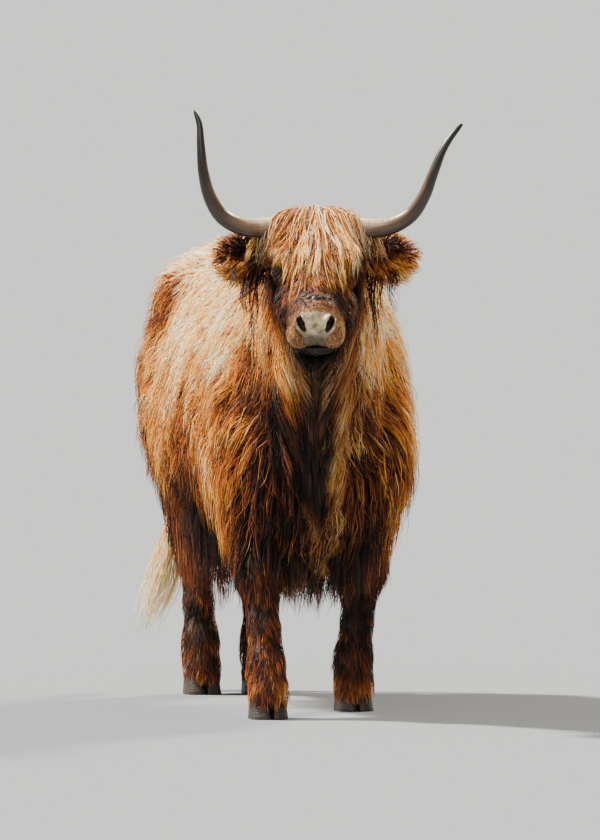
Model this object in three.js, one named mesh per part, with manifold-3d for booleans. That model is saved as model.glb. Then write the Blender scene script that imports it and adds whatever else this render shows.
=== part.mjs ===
// A Highland cow at life size, standing in mid-step with her head turned to her right.
// Millimetres, +Z up. The head points to -Y and the cow's left side is +X.
// Every solid reaches out to the tips of the coat. The body is modelled as overlapping lofts,
// which are then parted from each other by a thin gap.
import * as THREE from "three";
import { mergeVertices } from "three/addons/utils/BufferGeometryUtils.js";
import Module from "manifold-3d";

const wasm = await Module();
wasm.setup();

// ---------------------------------------------------------------- driving dimensions
const GAP = 0.5; // free space left between neighbouring solids
const CENTRE_SHIFT = new THREE.Vector3(44.5, -253, 0); // puts the origin under the middle of the cow

const WITHERS = 1170; // floor to the top of the coat at the shoulders
const BACK = 1156; // floor to the top of the coat over the loins
const SKIRT = 282; // floor to the lowest hair under the chest and belly
const CHEST_HALF_WIDTH = 276;
const BARREL_HALF_WIDTH = 276;
const WHEELBASE = 1040; // mid of the fore feet to mid of the hind feet

const FORE_STANCE = { half: 138, stride: 170 }; // right fore foot ahead, left one behind
const HIND_STANCE = { half: 74, stride: 0 };

const HEAD = {
  poll: new THREE.Vector3(-84, -486, 1202), // top of the skull between the horns
  turn: THREE.MathUtils.degToRad(11), // to her right
  pitch: THREE.MathUtils.degToRad(32), // of the face below the level
  length: 432, // poll to the tip of the nose
};

const HORN = { baseRadius: 27, narrowing: 0.78, tipShare: 0.06, tipWidth: 0.45 };
const EYE = { radius: 20, along: 158, side: 85, down: 44 };
const HOOF = { height: 66, length: 104, width: 43, split: 4, taper: 0.22, rake: 16, slope: 0.36 };

const COLOURS = {
  coat: 0xb4602a,
  coatDark: 0x7a3d1e,
  forelock: 0xd39a5e,
  horn: 0xb9a58c,
  eye: 0x1c1410,
  hoof: 0x3a332c,
  tailSwitch: 0xe2d3b8,
};

// ---------------------------------------------------------------- lofts and solids

// Smooth value of one named size at share s of the way along the stations.
function sizeAlong(stations, key, s) {
  const last = stations.length - 1;
  const x = THREE.MathUtils.clamp(s, 0, 1) * last;
  const i = Math.min(Math.floor(x), last - 1);
  const t = x - i;
  const value = (k) => stations[THREE.MathUtils.clamp(k, 0, last)][key];
  const slope = (k) => (k <= 0 || k >= last ? 0 : (value(k + 1) - value(k - 1)) / 2);
  const [a, b] = [value(i), value(i + 1)];
  const [ta, tb] = [slope(i), slope(i + 1)];
  const t2 = t * t;
  const t3 = t2 * t;
  return (2 * t3 - 3 * t2 + 1) * a + (t3 - 2 * t2 + t) * ta + (3 * t2 - 2 * t3) * b + (t3 - t2) * tb;
}

// A closed skin of rings: a sphere's mesh whose rings are moved to place(angle, s).
// s runs from 0 to 1, and both ends close on middle(s).
function loft(around, rings, place, middle) {
  const geometry = new THREE.SphereGeometry(1, around, rings + 1);
  const position = geometry.getAttribute("position");
  for (let i = 0; i < position.count; i++) {
    const ring = Math.floor(i / (around + 1));
    const angle = (2 * Math.PI * (i % (around + 1))) / around;
    const s = THREE.MathUtils.clamp((ring - 1) / (rings - 1), 0, 1);
    const point = ring === 0 || ring === rings + 1 ? middle(s) : place(angle, s);
    position.setXYZ(i, point.x, point.y, point.z);
  }
  return geometry;
}

// The closed solid of a geometry, with its faces turned outwards.
function solidOf(geometry) {
  const bare = geometry.index ? geometry.toNonIndexed() : geometry.clone();
  bare.deleteAttribute("normal");
  bare.deleteAttribute("uv");
  const merged = mergeVertices(bare, 1e-3);
  const build = (triVerts) =>
    new wasm.Manifold(
      new wasm.Mesh({ numProp: 3, vertProperties: merged.attributes.position.array, triVerts }),
    );
  const corners = Array.from(merged.index.array);
  const faces = [];
  for (let i = 0; i < corners.length; i += 3) {
    const [a, b, c] = corners.slice(i, i + 3);
    if (a !== b && b !== c && a !== c) faces.push(a, b, c);
  }
  const made = build(new Uint32Array(faces));
  return made.volume() > 0 ? made : build(new Uint32Array(faces).reverse());
}

function geometryOf(solid) {
  const mesh = solid.getMesh();
  const geometry = new THREE.BufferGeometry();
  geometry.setAttribute("position", new THREE.BufferAttribute(mesh.vertProperties, 3));
  geometry.setIndex(new THREE.BufferAttribute(mesh.triVerts, 1));
  geometry.computeVertexNormals();
  return geometry;
}

// A signed power, for sections squarer or more pointed than an ellipse.
const bulge = (value, power) => Math.sign(value) * Math.abs(value) ** power;

// ---------------------------------------------------------------- trunk

// Sections across the trunk from the chest to the rump, each as heights and a half width.
// upper and lower say how square the section is above and below its widest level.
const TRUNK = [
  { y: -284, top: 780, low: 530, half: 80, widest: 650, upper: 2, lower: 2 },
  { y: -254, top: 890, low: 436, half: 152, widest: 640, upper: 1.9, lower: 2 },
  { y: -170, top: 1040, low: SKIRT + 54, half: 226, widest: 650, upper: 1.7, lower: 2 },
  { y: -50, top: WITHERS - 25, low: SKIRT + 10, half: CHEST_HALF_WIDTH - 6, widest: 660, upper: 1.65, lower: 2 },
  { y: 80, top: WITHERS, low: SKIRT, half: CHEST_HALF_WIDTH, widest: 660, upper: 1.75, lower: 2.05 },
  { y: 240, top: BACK + 6, low: SKIRT, half: CHEST_HALF_WIDTH - 2, widest: 650, upper: 1.9, lower: 2.15 },
  { y: 430, top: BACK - 12, low: SKIRT, half: BARREL_HALF_WIDTH - 4, widest: 640, upper: 2, lower: 2.3 },
  { y: 620, top: BACK - 8, low: SKIRT, half: BARREL_HALF_WIDTH, widest: 640, upper: 2.05, lower: 2.3 },
  { y: 800, top: BACK + 2, low: SKIRT + 26, half: BARREL_HALF_WIDTH - 10, widest: 640, upper: 2.05, lower: 2.3 },
  { y: 960, top: BACK + 2, low: SKIRT + 104, half: 242, widest: 660, upper: 2.1, lower: 2.3 },
  { y: 1100, top: BACK - 14, low: 480, half: 206, widest: 720, upper: 2.15, lower: 2.3 },
  { y: 1205, top: BACK - 58, low: 590, half: 156, widest: 800, upper: 2.2, lower: 2.2 },
  { y: 1262, top: 1010, low: 720, half: 86, widest: 870, upper: 2, lower: 2 },
];

function trunkLoft(grow = 0) {
  const size = (key, s) => sizeAlong(TRUNK, key, s);
  const place = (angle, s) => {
    const [across, high] = [Math.cos(angle), Math.sin(angle)];
    const widest = size("widest", s);
    const squareness = high > 0 ? size("upper", s) : size("lower", s);
    const reach = (high > 0 ? size("top", s) - widest : widest - size("low", s)) + grow;
    const x = (size("half", s) + grow) * bulge(across, 2 / squareness);
    const y = size("y", s) + grow * (2 * s - 1);
    return new THREE.Vector3(x, y, widest + reach * bulge(high, 2 / squareness));
  };
  const middle = (s) => new THREE.Vector3(0, size("y", s), size("widest", s));
  return solidOf(loft(30, 19, place, middle));
}

// ---------------------------------------------------------------- parts that follow a line

// A limb, neck or tail: oval sections on a smooth line through the stations' points.
// "wide" is the half size along X or, on a turned section, across the line.
function limbLoft(stations, around, rings, grow = 0) {
  const size = (key, s) => sizeAlong(stations, key, s);
  const middle = (s) => new THREE.Vector3(size("x", s), size("y", s), size("z", s));
  const place = (angle, s) => {
    const lean = size("lean", s); // 0 is a level section, 1 stands upright, facing along Y
    const along = new THREE.Vector3(0, Math.cos((lean * Math.PI) / 2), Math.sin((lean * Math.PI) / 2));
    return middle(s)
      .addScaledVector(new THREE.Vector3(1, 0, 0), (size("wide", s) + grow) * Math.cos(angle))
      .addScaledVector(along, (size("deep", s) + grow) * Math.sin(angle));
  };
  return solidOf(loft(around, rings, place, middle));
}

// The neck with its mane and the long hair of the dewlap.
const NECK = [
  { x: 0, y: 60, z: 830, wide: 170, deep: 290, lean: 0.86 },
  { x: -6, y: -90, z: 868, wide: 188, deep: 284, lean: 0.76 },
  { x: -24, y: -230, z: 925, wide: 176, deep: 262, lean: 0.7 },
  { x: -50, y: -340, z: 1000, wide: 156, deep: 208, lean: 0.66 },
  { x: -72, y: -425, z: 1050, wide: 134, deep: 158, lean: 0.64 },
  { x: -84, y: -478, z: 1078, wide: 100, deep: 112, lean: 0.64 },
];

// Legs hang from inside the trunk. side is -1 for her right and +1 for her left.
function foreLeg(side, grow = 0) {
  const foot = { x: side * FORE_STANCE.half, y: side * FORE_STANCE.stride };
  const elbow = { x: side * 150, y: 12 };
  const at = (share, bow, z, wide, deep) => ({
    x: THREE.MathUtils.lerp(elbow.x, foot.x, share),
    y: THREE.MathUtils.lerp(elbow.y, foot.y, share) + bow,
    z,
    wide,
    deep,
    lean: 0,
  });
  return limbLoft(
    [
      at(0, -20, 760, 70, 110),
      at(0.02, -8, 650, 88, 128),
      at(0.12, 0, 540, 84, 108),
      at(0.32, 0, 450, 70, 84),
      at(0.55, -4, 360, 58, 62),
      at(0.72, -4, 280, 52, 54),
      at(0.84, 0, 205, 49, 52),
      at(0.94, 4, 140, 42, 48),
      at(1, 2, 90, 39, 49),
      at(1, -4, 42, 45, 55),
    ],
    12,
    14,
    grow,
  );
}

function hindLeg(side, grow = 0) {
  const foot = { x: side * HIND_STANCE.half, y: WHEELBASE - side * HIND_STANCE.stride };
  const at = (x, back, z, wide, deep) => ({ x: side * x, y: foot.y + back, z, wide, deep, lean: 0 });
  return limbLoft(
    [
      at(122, -40, 930, 78, 150),
      at(140, -60, 800, 92, 176),
      at(138, -70, 680, 92, 166),
      at(124, -36, 570, 80, 132),
      at(104, 22, 485, 62, 98),
      at(88, 58, 415, 48, 66),
      at(80, 52, 335, 42, 50),
      at(76, 34, 235, 40, 44),
      at(74, 16, 145, 42, 48),
      at(74, 4, 88, 40, 49),
      at(74, -2, 42, 44, 54),
    ],
    12,
    15,
    grow,
  );
}

// One claw of a cloven hoof: a flat sole, a round toe in front and a sloping wall.
function claw(foot, inner, grow = 0) {
  const shape = new THREE.Shape();
  const half = HOOF.width / 2 + grow;
  const [toe, heel] = [-HOOF.length * 0.56 - grow, HOOF.length * 0.44 + grow];
  shape.moveTo(0, heel);
  shape.quadraticCurveTo(half, heel, half, heel * 0.3);
  shape.lineTo(half, toe * 0.35);
  shape.quadraticCurveTo(half, toe, half * inner * 0.8, toe);
  shape.quadraticCurveTo(-half, toe, -half, toe * 0.35);
  shape.lineTo(-half, heel * 0.3);
  shape.quadraticCurveTo(-half, heel, 0, heel);
  const geometry = new THREE.ExtrudeGeometry(shape, {
    depth: HOOF.height + grow,
    bevelEnabled: false,
    curveSegments: 3,
    steps: 1,
  });
  const position = geometry.getAttribute("position");
  for (let i = 0; i < position.count; i++) {
    const lift = position.getZ(i) / HOOF.height;
    const narrow = 1 - HOOF.taper * lift;
    const backward = (position.getY(i) - toe) / HOOF.length;
    position.setX(i, position.getX(i) * narrow);
    position.setY(i, position.getY(i) * narrow + HOOF.rake * lift);
    position.setZ(i, position.getZ(i) * (1 - HOOF.slope * backward));
  }
  geometry.translate(foot.x - inner * (HOOF.width / 2 + HOOF.split / 2), foot.y, 0);
  return solidOf(geometry);
}

// A dewclaw: a small blunt cone behind the fetlock.
function dewclaw(foot, side, grow = 0) {
  const geometry = new THREE.CylinderGeometry(7 + grow, 13 + grow, 34 + 2 * grow, 8, 1);
  geometry.rotateX(THREE.MathUtils.degToRad(62));
  geometry.translate(foot.x + side * 19, foot.y + 56, 104);
  return solidOf(geometry);
}

// ---------------------------------------------------------------- head

// Turns head coordinates into the cow's: right/left, along the face from the poll, and off the face.
const headBasis = {
  side: new THREE.Vector3(Math.cos(HEAD.turn), -Math.sin(HEAD.turn), 0),
  along: new THREE.Vector3(
    -Math.sin(HEAD.turn) * Math.cos(HEAD.pitch),
    -Math.cos(HEAD.turn) * Math.cos(HEAD.pitch),
    -Math.sin(HEAD.pitch),
  ),
  off: new THREE.Vector3(
    -Math.sin(HEAD.turn) * Math.sin(HEAD.pitch),
    -Math.cos(HEAD.turn) * Math.sin(HEAD.pitch),
    Math.cos(HEAD.pitch),
  ),
};
const headPoint = (side, along, off) =>
  HEAD.poll
    .clone()
    .addScaledVector(headBasis.side, side)
    .addScaledVector(headBasis.along, along)
    .addScaledVector(headBasis.off, off);

// Sections across the head. brow is the face's height off the poll line and jaw the depth below it.
const SKULL = [
  { at: -42, half: 70, brow: -42, jaw: 120, square: 2 },
  { at: -18, half: 92, brow: -6, jaw: 160, square: 2.2 },
  { at: 30, half: 104, brow: 10, jaw: 190, square: 2.4 },
  { at: 95, half: 108, brow: 12, jaw: 214, square: 2.5 },
  { at: 155, half: 107, brow: 10, jaw: 216, square: 2.5 },
  { at: 215, half: 94, brow: 6, jaw: 196, square: 2.4 },
  { at: 280, half: 76, brow: 3, jaw: 160, square: 2.3 },
  { at: 340, half: 67, brow: 2, jaw: 134, square: 2.3 },
  { at: 392, half: 68, brow: 0, jaw: 124, square: 2.6 },
  { at: 424, half: 62, brow: -10, jaw: 116, square: 2.7 },
  { at: HEAD.length, half: 44, brow: -26, jaw: 98, square: 2.4 },
];

function skullLoft(grow = 0) {
  const size = (key, s) => sizeAlong(SKULL, key, s);
  const level = (s) => (size("brow", s) - size("jaw", s)) / 2;
  const place = (angle, s) => {
    const power = 2 / size("square", s);
    const tall = (size("brow", s) + size("jaw", s)) / 2 + grow;
    const below = Math.max(0, -Math.sin(angle));
    const width = size("half", s) * (1 - 0.26 * below ** 2) + grow; // the jaw is narrower than the brow
    return headPoint(
      width * bulge(Math.cos(angle), power),
      size("at", s) - 14 * below * s + grow * (2 * s - 1), // the chin lies behind the nose
      level(s) + tall * bulge(Math.sin(angle), power),
    );
  };
  return solidOf(loft(22, 16, place, (s) => headPoint(0, size("at", s), level(s))));
}

// An ellipsoid laid out in head coordinates.
function headEllipsoid(centre, radii, around = 10, rings = 6) {
  const place = (angle, s) => {
    const tilt = Math.PI * ((s * (rings - 1) + 1) / (rings + 1));
    return headPoint(
      centre[0] + radii[0] * Math.sin(tilt) * Math.cos(angle),
      centre[1] + radii[1] * Math.cos(tilt),
      centre[2] + radii[2] * Math.sin(tilt) * Math.sin(angle),
    );
  };
  const middle = (s) => headPoint(centre[0], centre[1] + radii[1] * (s < 0.5 ? 1 : -1), centre[2]);
  return solidOf(loft(around, rings, place, middle));
}

// The beard that hangs from the jaw and throat, narrowing to a point.
const BEARD = [
  { x: -116, y: -588, z: 944, wide: 62, deep: 118, lean: 0 },
  { x: -118, y: -592, z: 892, wide: 84, deep: 138, lean: 0 },
  { x: -120, y: -602, z: 838, wide: 72, deep: 124, lean: 0 },
  { x: -123, y: -618, z: 785, wide: 46, deep: 84, lean: 0 },
  { x: -126, y: -634, z: 738, wide: 12, deep: 22, lean: 0 },
];

// The forelock: a thick fall of hair over the brow, widest at the horns and pointed on the nose.
const FORELOCK = [
  { at: -46, half: 70, lift: -26, thick: 20 },
  { at: -14, half: 112, lift: 0, thick: 24 },
  { at: 50, half: 124, lift: 18, thick: 28 },
  { at: 120, half: 122, lift: 22, thick: 26 },
  { at: 190, half: 110, lift: 21, thick: 22 },
  { at: 260, half: 82, lift: 17, thick: 18 },
  { at: 322, half: 48, lift: 12, thick: 13 },
  { at: 362, half: 16, lift: 8, thick: 7 },
];

function forelockLoft(grow = 0) {
  const size = (key, s) => sizeAlong(FORELOCK, key, s);
  const drop = (across, s) => 34 * across ** 2 * Math.min(1, size("half", s) / 110);
  const place = (angle, s) => {
    const across = Math.cos(angle);
    const off = size("lift", s) - drop(across, s) + (size("thick", s) + grow) * Math.sin(angle);
    return headPoint((size("half", s) + grow) * bulge(across, 0.8), size("at", s), off);
  };
  return solidOf(loft(16, 9, place, (s) => headPoint(0, size("at", s), size("lift", s))));
}

// Horns leave the skull sideways, then sweep up. Each point is outward, up and forward
// of the root between the horns; the right horn stands straighter than the left.
const HORN_LEVEL = -22; // the root line, below the poll
const HORNS = {
  right: [
    [70, 0, 0], [118, -4, 4], [176, 0, 16], [221, 24, 28], [248, 66, 36],
    [264, 124, 36], [271, 196, 26], [275, 244, 13], [287, 276, 2],
  ],
  left: [
    [70, 0, 0], [124, -6, 4], [180, 2, 16], [226, 28, 28], [256, 72, 36],
    [277, 124, 37], [305, 188, 27], [329, 222, 15], [348, 243, 5],
  ],
};

function horn(side, points, grow = 0) {
  const level = new THREE.Vector3(-Math.sin(HEAD.turn), -Math.cos(HEAD.turn), 0);
  const line = new THREE.CatmullRomCurve3(
    points.map(([out, up, forward]) =>
      HEAD.poll
        .clone()
        .addScaledVector(headBasis.side, side * out)
        .addScaledVector(level, forward - 12)
        .add(new THREE.Vector3(0, 0, HORN_LEVEL + up)),
    ),
  );
  const radius = (s) => {
    const blunt = THREE.MathUtils.clamp((1 - s) / HORN.tipShare, 0, 1);
    const rounding = HORN.tipWidth + (1 - HORN.tipWidth) * Math.sqrt(blunt);
    return HORN.baseRadius * (1 - HORN.narrowing * s) * rounding + grow;
  };
  const frames = line.computeFrenetFrames(40, false);
  const place = (angle, s) => {
    const i = Math.round(s * 40);
    return line
      .getPointAt(s)
      .addScaledVector(frames.normals[i], radius(s) * Math.cos(angle))
      .addScaledVector(frames.binormals[i], radius(s) * Math.sin(angle));
  };
  return solidOf(loft(10, 18, place, (s) => line.getPointAt(s)));
}

// An ear: a leaf held level behind the horn, cupped towards the front, with a hanging fringe.
const EAR = [
  { out: 80, wide: 28, thick: 22, fringe: 30 },
  { out: 112, wide: 39, thick: 27, fringe: 92 },
  { out: 146, wide: 45, thick: 28, fringe: 104 },
  { out: 180, wide: 47, thick: 27, fringe: 76 },
  { out: 211, wide: 42, thick: 24, fringe: 34 },
  { out: 233, wide: 24, thick: 14, fringe: 8 },
];
const EAR_ROOT = { down: 86, back: 6, droop: 0.1 };

function earLoft(side, grow = 0) {
  const size = (key, s) => sizeAlong(EAR, key, s);
  const forward = new THREE.Vector3(-Math.sin(HEAD.turn), -Math.cos(HEAD.turn), 0);
  const middle = (s) => {
    const drop = EAR_ROOT.down + EAR_ROOT.droop * (size("out", s) - EAR[0].out);
    return HEAD.poll
      .clone()
      .addScaledVector(headBasis.side, side * size("out", s))
      .addScaledVector(forward, -EAR_ROOT.back - 34)
      .add(new THREE.Vector3(0, 0, -drop));
  };
  const place = (angle, s) => {
    const high = Math.sin(angle);
    const hang = high < 0 ? size("fringe", s) * high ** 2 : 0;
    return middle(s)
      .addScaledVector(forward, (size("thick", s) + grow) * Math.cos(angle) * (1 - 0.45 * Math.max(0, -high)))
      .add(new THREE.Vector3(0, 0, (size("wide", s) + grow) * high - hang));
  };
  return solidOf(loft(12, 9, place, middle));
}

// ---------------------------------------------------------------- tail

// The dock hangs from the rump; the switch swings out to her right, clear of the hocks.
const DOCK = [
  { x: 0, y: 1196, z: 1086, wide: 34, deep: 44, lean: 0.6 },
  { x: -2, y: 1262, z: 1050, wide: 36, deep: 42, lean: 0.4 },
  { x: -8, y: 1296, z: 960, wide: 36, deep: 40, lean: 0.1 },
  { x: -18, y: 1306, z: 820, wide: 38, deep: 38, lean: 0 },
  { x: -31, y: 1304, z: 680, wide: 40, deep: 38, lean: 0 },
  { x: -50, y: 1296, z: 560, wide: 42, deep: 40, lean: 0 },
];
const SWITCH = [
  { x: -50.2, y: 1296, z: 559.4, wide: 42, deep: 40, lean: 0 },
  { x: -74, y: 1288, z: 450, wide: 54, deep: 50, lean: 0 },
  { x: -100, y: 1282, z: 350, wide: 55, deep: 50, lean: 0 },
  { x: -130, y: 1278, z: 262, wide: 44, deep: 40, lean: 0 },
  { x: -160, y: 1276, z: 192, wide: 24, deep: 22, lean: 0 },
  { x: -180, y: 1275, z: 150, wide: 6, deep: 6, lean: 0 },
];

// ---------------------------------------------------------------- assembly

const cow = new THREE.Group();
cow.name = "highland_cow";

function add(name, solid, colour, roughness = 0.9) {
  const material = new THREE.MeshStandardMaterial({ color: colour, roughness, metalness: 0 });
  const mesh = new THREE.Mesh(geometryOf(solid), material);
  mesh.name = name;
  cow.add(mesh);
}

const join = (solids) => solids.reduce((whole, next) => whole.add(next));
const cut = (solid, tools) => tools.reduce((left, tool) => left.subtract(tool), solid);

// The largest of the bodies that a cut leaves; slivers of hair shape are dropped.
const mainBody = (solid) =>
  solid.decompose().reduce((best, body) => (body.volume() > best.volume() ? body : best));

const SIDES = { right: -1, left: 1 };

function addLegs() {
  for (const [name, side] of Object.entries(SIDES)) {
    for (const [place, leg, foot] of [
      ["fore", foreLeg, { x: side * FORE_STANCE.half, y: side * FORE_STANCE.stride }],
      ["hind", hindLeg, { x: side * HIND_STANCE.half, y: WHEELBASE - side * HIND_STANCE.stride }],
    ]) {
      const horny = (grow) => [
        claw(foot, 1, grow),
        claw(foot, -1, grow),
        dewclaw(foot, 1, grow),
        dewclaw(foot, -1, grow),
      ];
      const limb = mainBody(cut(leg(side), [trunkLoft(GAP), ...horny(GAP)]));
      add(`leg_${place}_${name}`, limb, COLOURS.coatDark);
      const labels = ["claw_a", "claw_b", "dewclaw_a", "dewclaw_b"];
      horny(0).forEach((solid, i) => add(`${labels[i]}_${place}_${name}`, solid, COLOURS.hoof, 0.5));
    }
  }
}

function addHead() {
  const eyeCentre = (side) => [side * EYE.side, EYE.along, -EYE.down];
  const horns = Object.entries(SIDES).map(([name, side]) => horn(side, HORNS[name], GAP));
  const ears = Object.values(SIDES).map((side) => earLoft(side, GAP));
  const openings = [];
  for (const side of Object.values(SIDES)) {
    openings.push(headEllipsoid(eyeCentre(side), [EYE.radius + GAP, EYE.radius + GAP, EYE.radius + GAP]));
    // the gap between the lids, the nostril and the corner of the mouth
    openings.push(headEllipsoid([side * (EYE.side + 18), EYE.along, -EYE.down], [16, 17, 12], 8, 5));
    openings.push(headEllipsoid([side * 34, HEAD.length - 8, -46], [10, 22, 17], 8, 5));
  }
  openings.push(headEllipsoid([0, HEAD.length - 34, -94], [74, 34, 3.2], 12, 3));
  const flesh = skullLoft().add(limbLoft(BEARD, 14, 7));
  const head = mainBody(cut(flesh, [...openings, ...horns, ...ears, forelockLoft(GAP)]));
  add("head", head, COLOURS.coat);
  add("forelock", mainBody(cut(forelockLoft(), [...horns, ...ears])), COLOURS.forelock);
  for (const [name, side] of Object.entries(SIDES)) {
    add(`eye_${name}`, headEllipsoid(eyeCentre(side), [EYE.radius, EYE.radius, EYE.radius]), COLOURS.eye, 0.1);
    add(`horn_${name}`, horn(side, HORNS[name]), COLOURS.horn, 0.45);
    add(`ear_${name}`, mainBody(cut(earLoft(side), horns)), COLOURS.coatDark);
  }
  return [skullLoft(GAP), limbLoft(BEARD, 14, 7, GAP), forelockLoft(GAP), ...ears, ...horns];
}

addLegs();
const headParts = addHead();
add("neck", mainBody(cut(limbLoft(NECK, 20, 8), [...headParts, trunkLoft(GAP)])), COLOURS.coat);
add("trunk", cut(trunkLoft(), [limbLoft(DOCK, 12, 9, GAP)]), COLOURS.coat);
add("tail_dock", limbLoft(DOCK, 12, 9), COLOURS.coat);
add("tail_switch", limbLoft(SWITCH, 12, 9), COLOURS.tailSwitch);

cow.position.copy(CENTRE_SHIFT);
export default cow;
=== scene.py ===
# A Highland cow: one skin, a long wavy coat laid over it in locks, eyes, horns and hooves.
import math

import bpy
import numpy as np
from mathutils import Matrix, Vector
from mathutils.kdtree import KDTree


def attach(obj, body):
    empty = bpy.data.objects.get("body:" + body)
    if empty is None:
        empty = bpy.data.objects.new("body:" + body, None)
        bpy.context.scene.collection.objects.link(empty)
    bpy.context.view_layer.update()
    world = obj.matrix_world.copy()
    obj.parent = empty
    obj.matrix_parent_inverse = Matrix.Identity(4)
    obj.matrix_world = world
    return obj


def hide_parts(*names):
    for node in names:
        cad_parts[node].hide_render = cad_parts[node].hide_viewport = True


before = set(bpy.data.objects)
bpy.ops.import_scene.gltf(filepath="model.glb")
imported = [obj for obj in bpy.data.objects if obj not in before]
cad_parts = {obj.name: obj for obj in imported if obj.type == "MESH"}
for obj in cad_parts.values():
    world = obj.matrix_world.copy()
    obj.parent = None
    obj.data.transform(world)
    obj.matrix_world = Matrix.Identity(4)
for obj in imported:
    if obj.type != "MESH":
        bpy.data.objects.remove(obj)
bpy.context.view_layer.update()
random = np.random.default_rng(11)

# ------------------------------------------------------------------ places and directions
FEET = np.array([0.0445, -0.253, 0.0])  # on the floor, midway between the fore feet
MM = 0.001


def at(x, y, z):
    """A point in millimetres from the middle of the fore feet: to her left, backwards, up."""
    return np.array([x, y, z]) * MM + FEET


HEAD_TURN = math.radians(11)
HEAD_PITCH = math.radians(32)
POLL = at(-84, -486, 1202)
LEVEL_FORWARD = np.array([-math.sin(HEAD_TURN), -math.cos(HEAD_TURN), 0.0])
UP = np.array([0.0, 0.0, 1.0])
HEAD_SIDE = np.array([math.cos(HEAD_TURN), -math.sin(HEAD_TURN), 0.0])
HEAD_ALONG = LEVEL_FORWARD * math.cos(HEAD_PITCH) - UP * math.sin(HEAD_PITCH)
HEAD_OFF = LEVEL_FORWARD * math.sin(HEAD_PITCH) + UP * math.cos(HEAD_PITCH)
HEAD_AXES = (HEAD_SIDE, HEAD_ALONG, HEAD_OFF)


def on_head(side, along, off):
    """A point in millimetres from the poll: to her left, down the face, and off the face."""
    return POLL + (side * HEAD_SIDE + along * HEAD_ALONG + off * HEAD_OFF) * MM


def head_coordinates(points):
    """Side, along and off in millimetres, for points in metres."""
    return (points - POLL) @ np.stack(HEAD_AXES, 1) / MM


RIGHT, LEFT = -1, 1
SIDE_NAMES = {RIGHT: "right", LEFT: "left"}
# Where each foot stands: millimetres to her left and backwards, as in at().
FORE_FOOT = {side: (138 * side, 170 * side) for side in (RIGHT, LEFT)}
HIND_FOOT = {side: (74 * side, 1040) for side in (RIGHT, LEFT)}


# ------------------------------------------------------------------ small numeric helpers
def unit(vectors):
    """The same directions, with a length of 1."""
    return vectors / np.maximum(np.linalg.norm(vectors, axis=-1, keepdims=True), 1e-9)


def ramp(value, low, high):
    """0 below low, 1 above high, smooth in between."""
    t = np.clip((value - low) / (high - low), 0, 1)
    return t * t * (3 - 2 * t)


def near(value, centre, reach):
    """1 at the centre, falling to 0 at a distance of reach."""
    return 1 - ramp(np.abs(value - centre), 0, reach)


def along_table(table, column, x):
    """Smooth value of a column of a table whose first column is x."""
    xs, ys = table[:, 0], table[:, column]
    slopes = np.gradient(ys, xs)
    x = np.clip(x, xs[0], xs[-1])
    i = np.clip(np.searchsorted(xs, x) - 1, 0, len(xs) - 2)
    width = xs[i + 1] - xs[i]
    t = (x - xs[i]) / width
    a = 2 * t**3 - 3 * t**2 + 1
    b = t**3 - 2 * t**2 + t
    c = -2 * t**3 + 3 * t**2
    d = t**3 - t**2
    return a * ys[i] + b * width * slopes[i] + c * ys[i + 1] + d * width * slopes[i + 1]


WOBBLE_WAVES, WOBBLE_SIZE = 7, 2.6  # how many waves are added up, and the usual size of their sum


def wobble(points, size, seed):
    """A smooth random value of about -1 to 1 for each point, changing over about `size` metres."""
    dice = np.random.default_rng(seed)
    total = np.zeros(points.shape[:-1])
    for _ in range(WOBBLE_WAVES):
        direction = unit(dice.normal(size=3))
        pitch = 2 * math.pi / size * dice.uniform(0.5, 1.3)
        total += np.sin(points @ direction * pitch + dice.uniform(0, 2 * math.pi))
    return total / WOBBLE_SIZE


# ------------------------------------------------------------------ forms of the body
# Each form is a function of x, y, z that gives the distance to its surface, negative inside.
def oval(centre, radii, axes=None):
    """An oval with radii in millimetres, along X, Y and Z or along the axes given."""
    centre = np.asarray(centre)
    radii = np.asarray(radii) * MM

    def distance(x, y, z):
        d = (x - centre[0], y - centre[1], z - centre[2])
        if axes is not None:
            d = [a[0] * d[0] + a[1] * d[1] + a[2] * d[2] for a in axes]
        q = [d[i] / radii[i] for i in range(3)]
        k = np.sqrt(q[0] ** 2 + q[1] ** 2 + q[2] ** 2)
        g = np.sqrt(sum((q[i] / radii[i]) ** 2 for i in range(3)))
        return k * (k - 1) / np.maximum(g, 1e-6)

    reach = radii.max()
    distance.low, distance.high = centre - reach, centre + reach
    return distance


def limb(start, end, start_radius, end_radius, flat=(1.0, 1.0)):
    """A round bar that tapers from start to end. flat scales its size along X and along Y."""
    start, end = np.asarray(start), np.asarray(end)
    r0, r1 = start_radius * MM, end_radius * MM
    stretch = np.array([flat[0], flat[1], 1.0])
    a, b = start / stretch, end / stretch
    ab = b - a
    length = ab @ ab

    def distance(x, y, z):
        px, py, pz = x / stretch[0] - a[0], y / stretch[1] - a[1], z - a[2]
        t = np.clip((px * ab[0] + py * ab[1] + pz * ab[2]) / length, 0, 1)
        gap = np.sqrt((px - ab[0] * t) ** 2 + (py - ab[1] * t) ** 2 + (pz - ab[2] * t) ** 2)
        return gap - (r0 + (r1 - r0) * t)

    reach = max(r0, r1) * stretch.max()
    distance.low, distance.high = np.minimum(start, end) - reach, np.maximum(start, end) + reach
    return distance


def chain(points, radii, flat=(1.0, 1.0)):
    """Bars from point to point, each as thick at its ends as the radii there."""
    return [
        limb(points[i], points[i + 1], radii[i], radii[i + 1], flat) for i in range(len(points) - 1)
    ]


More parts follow.
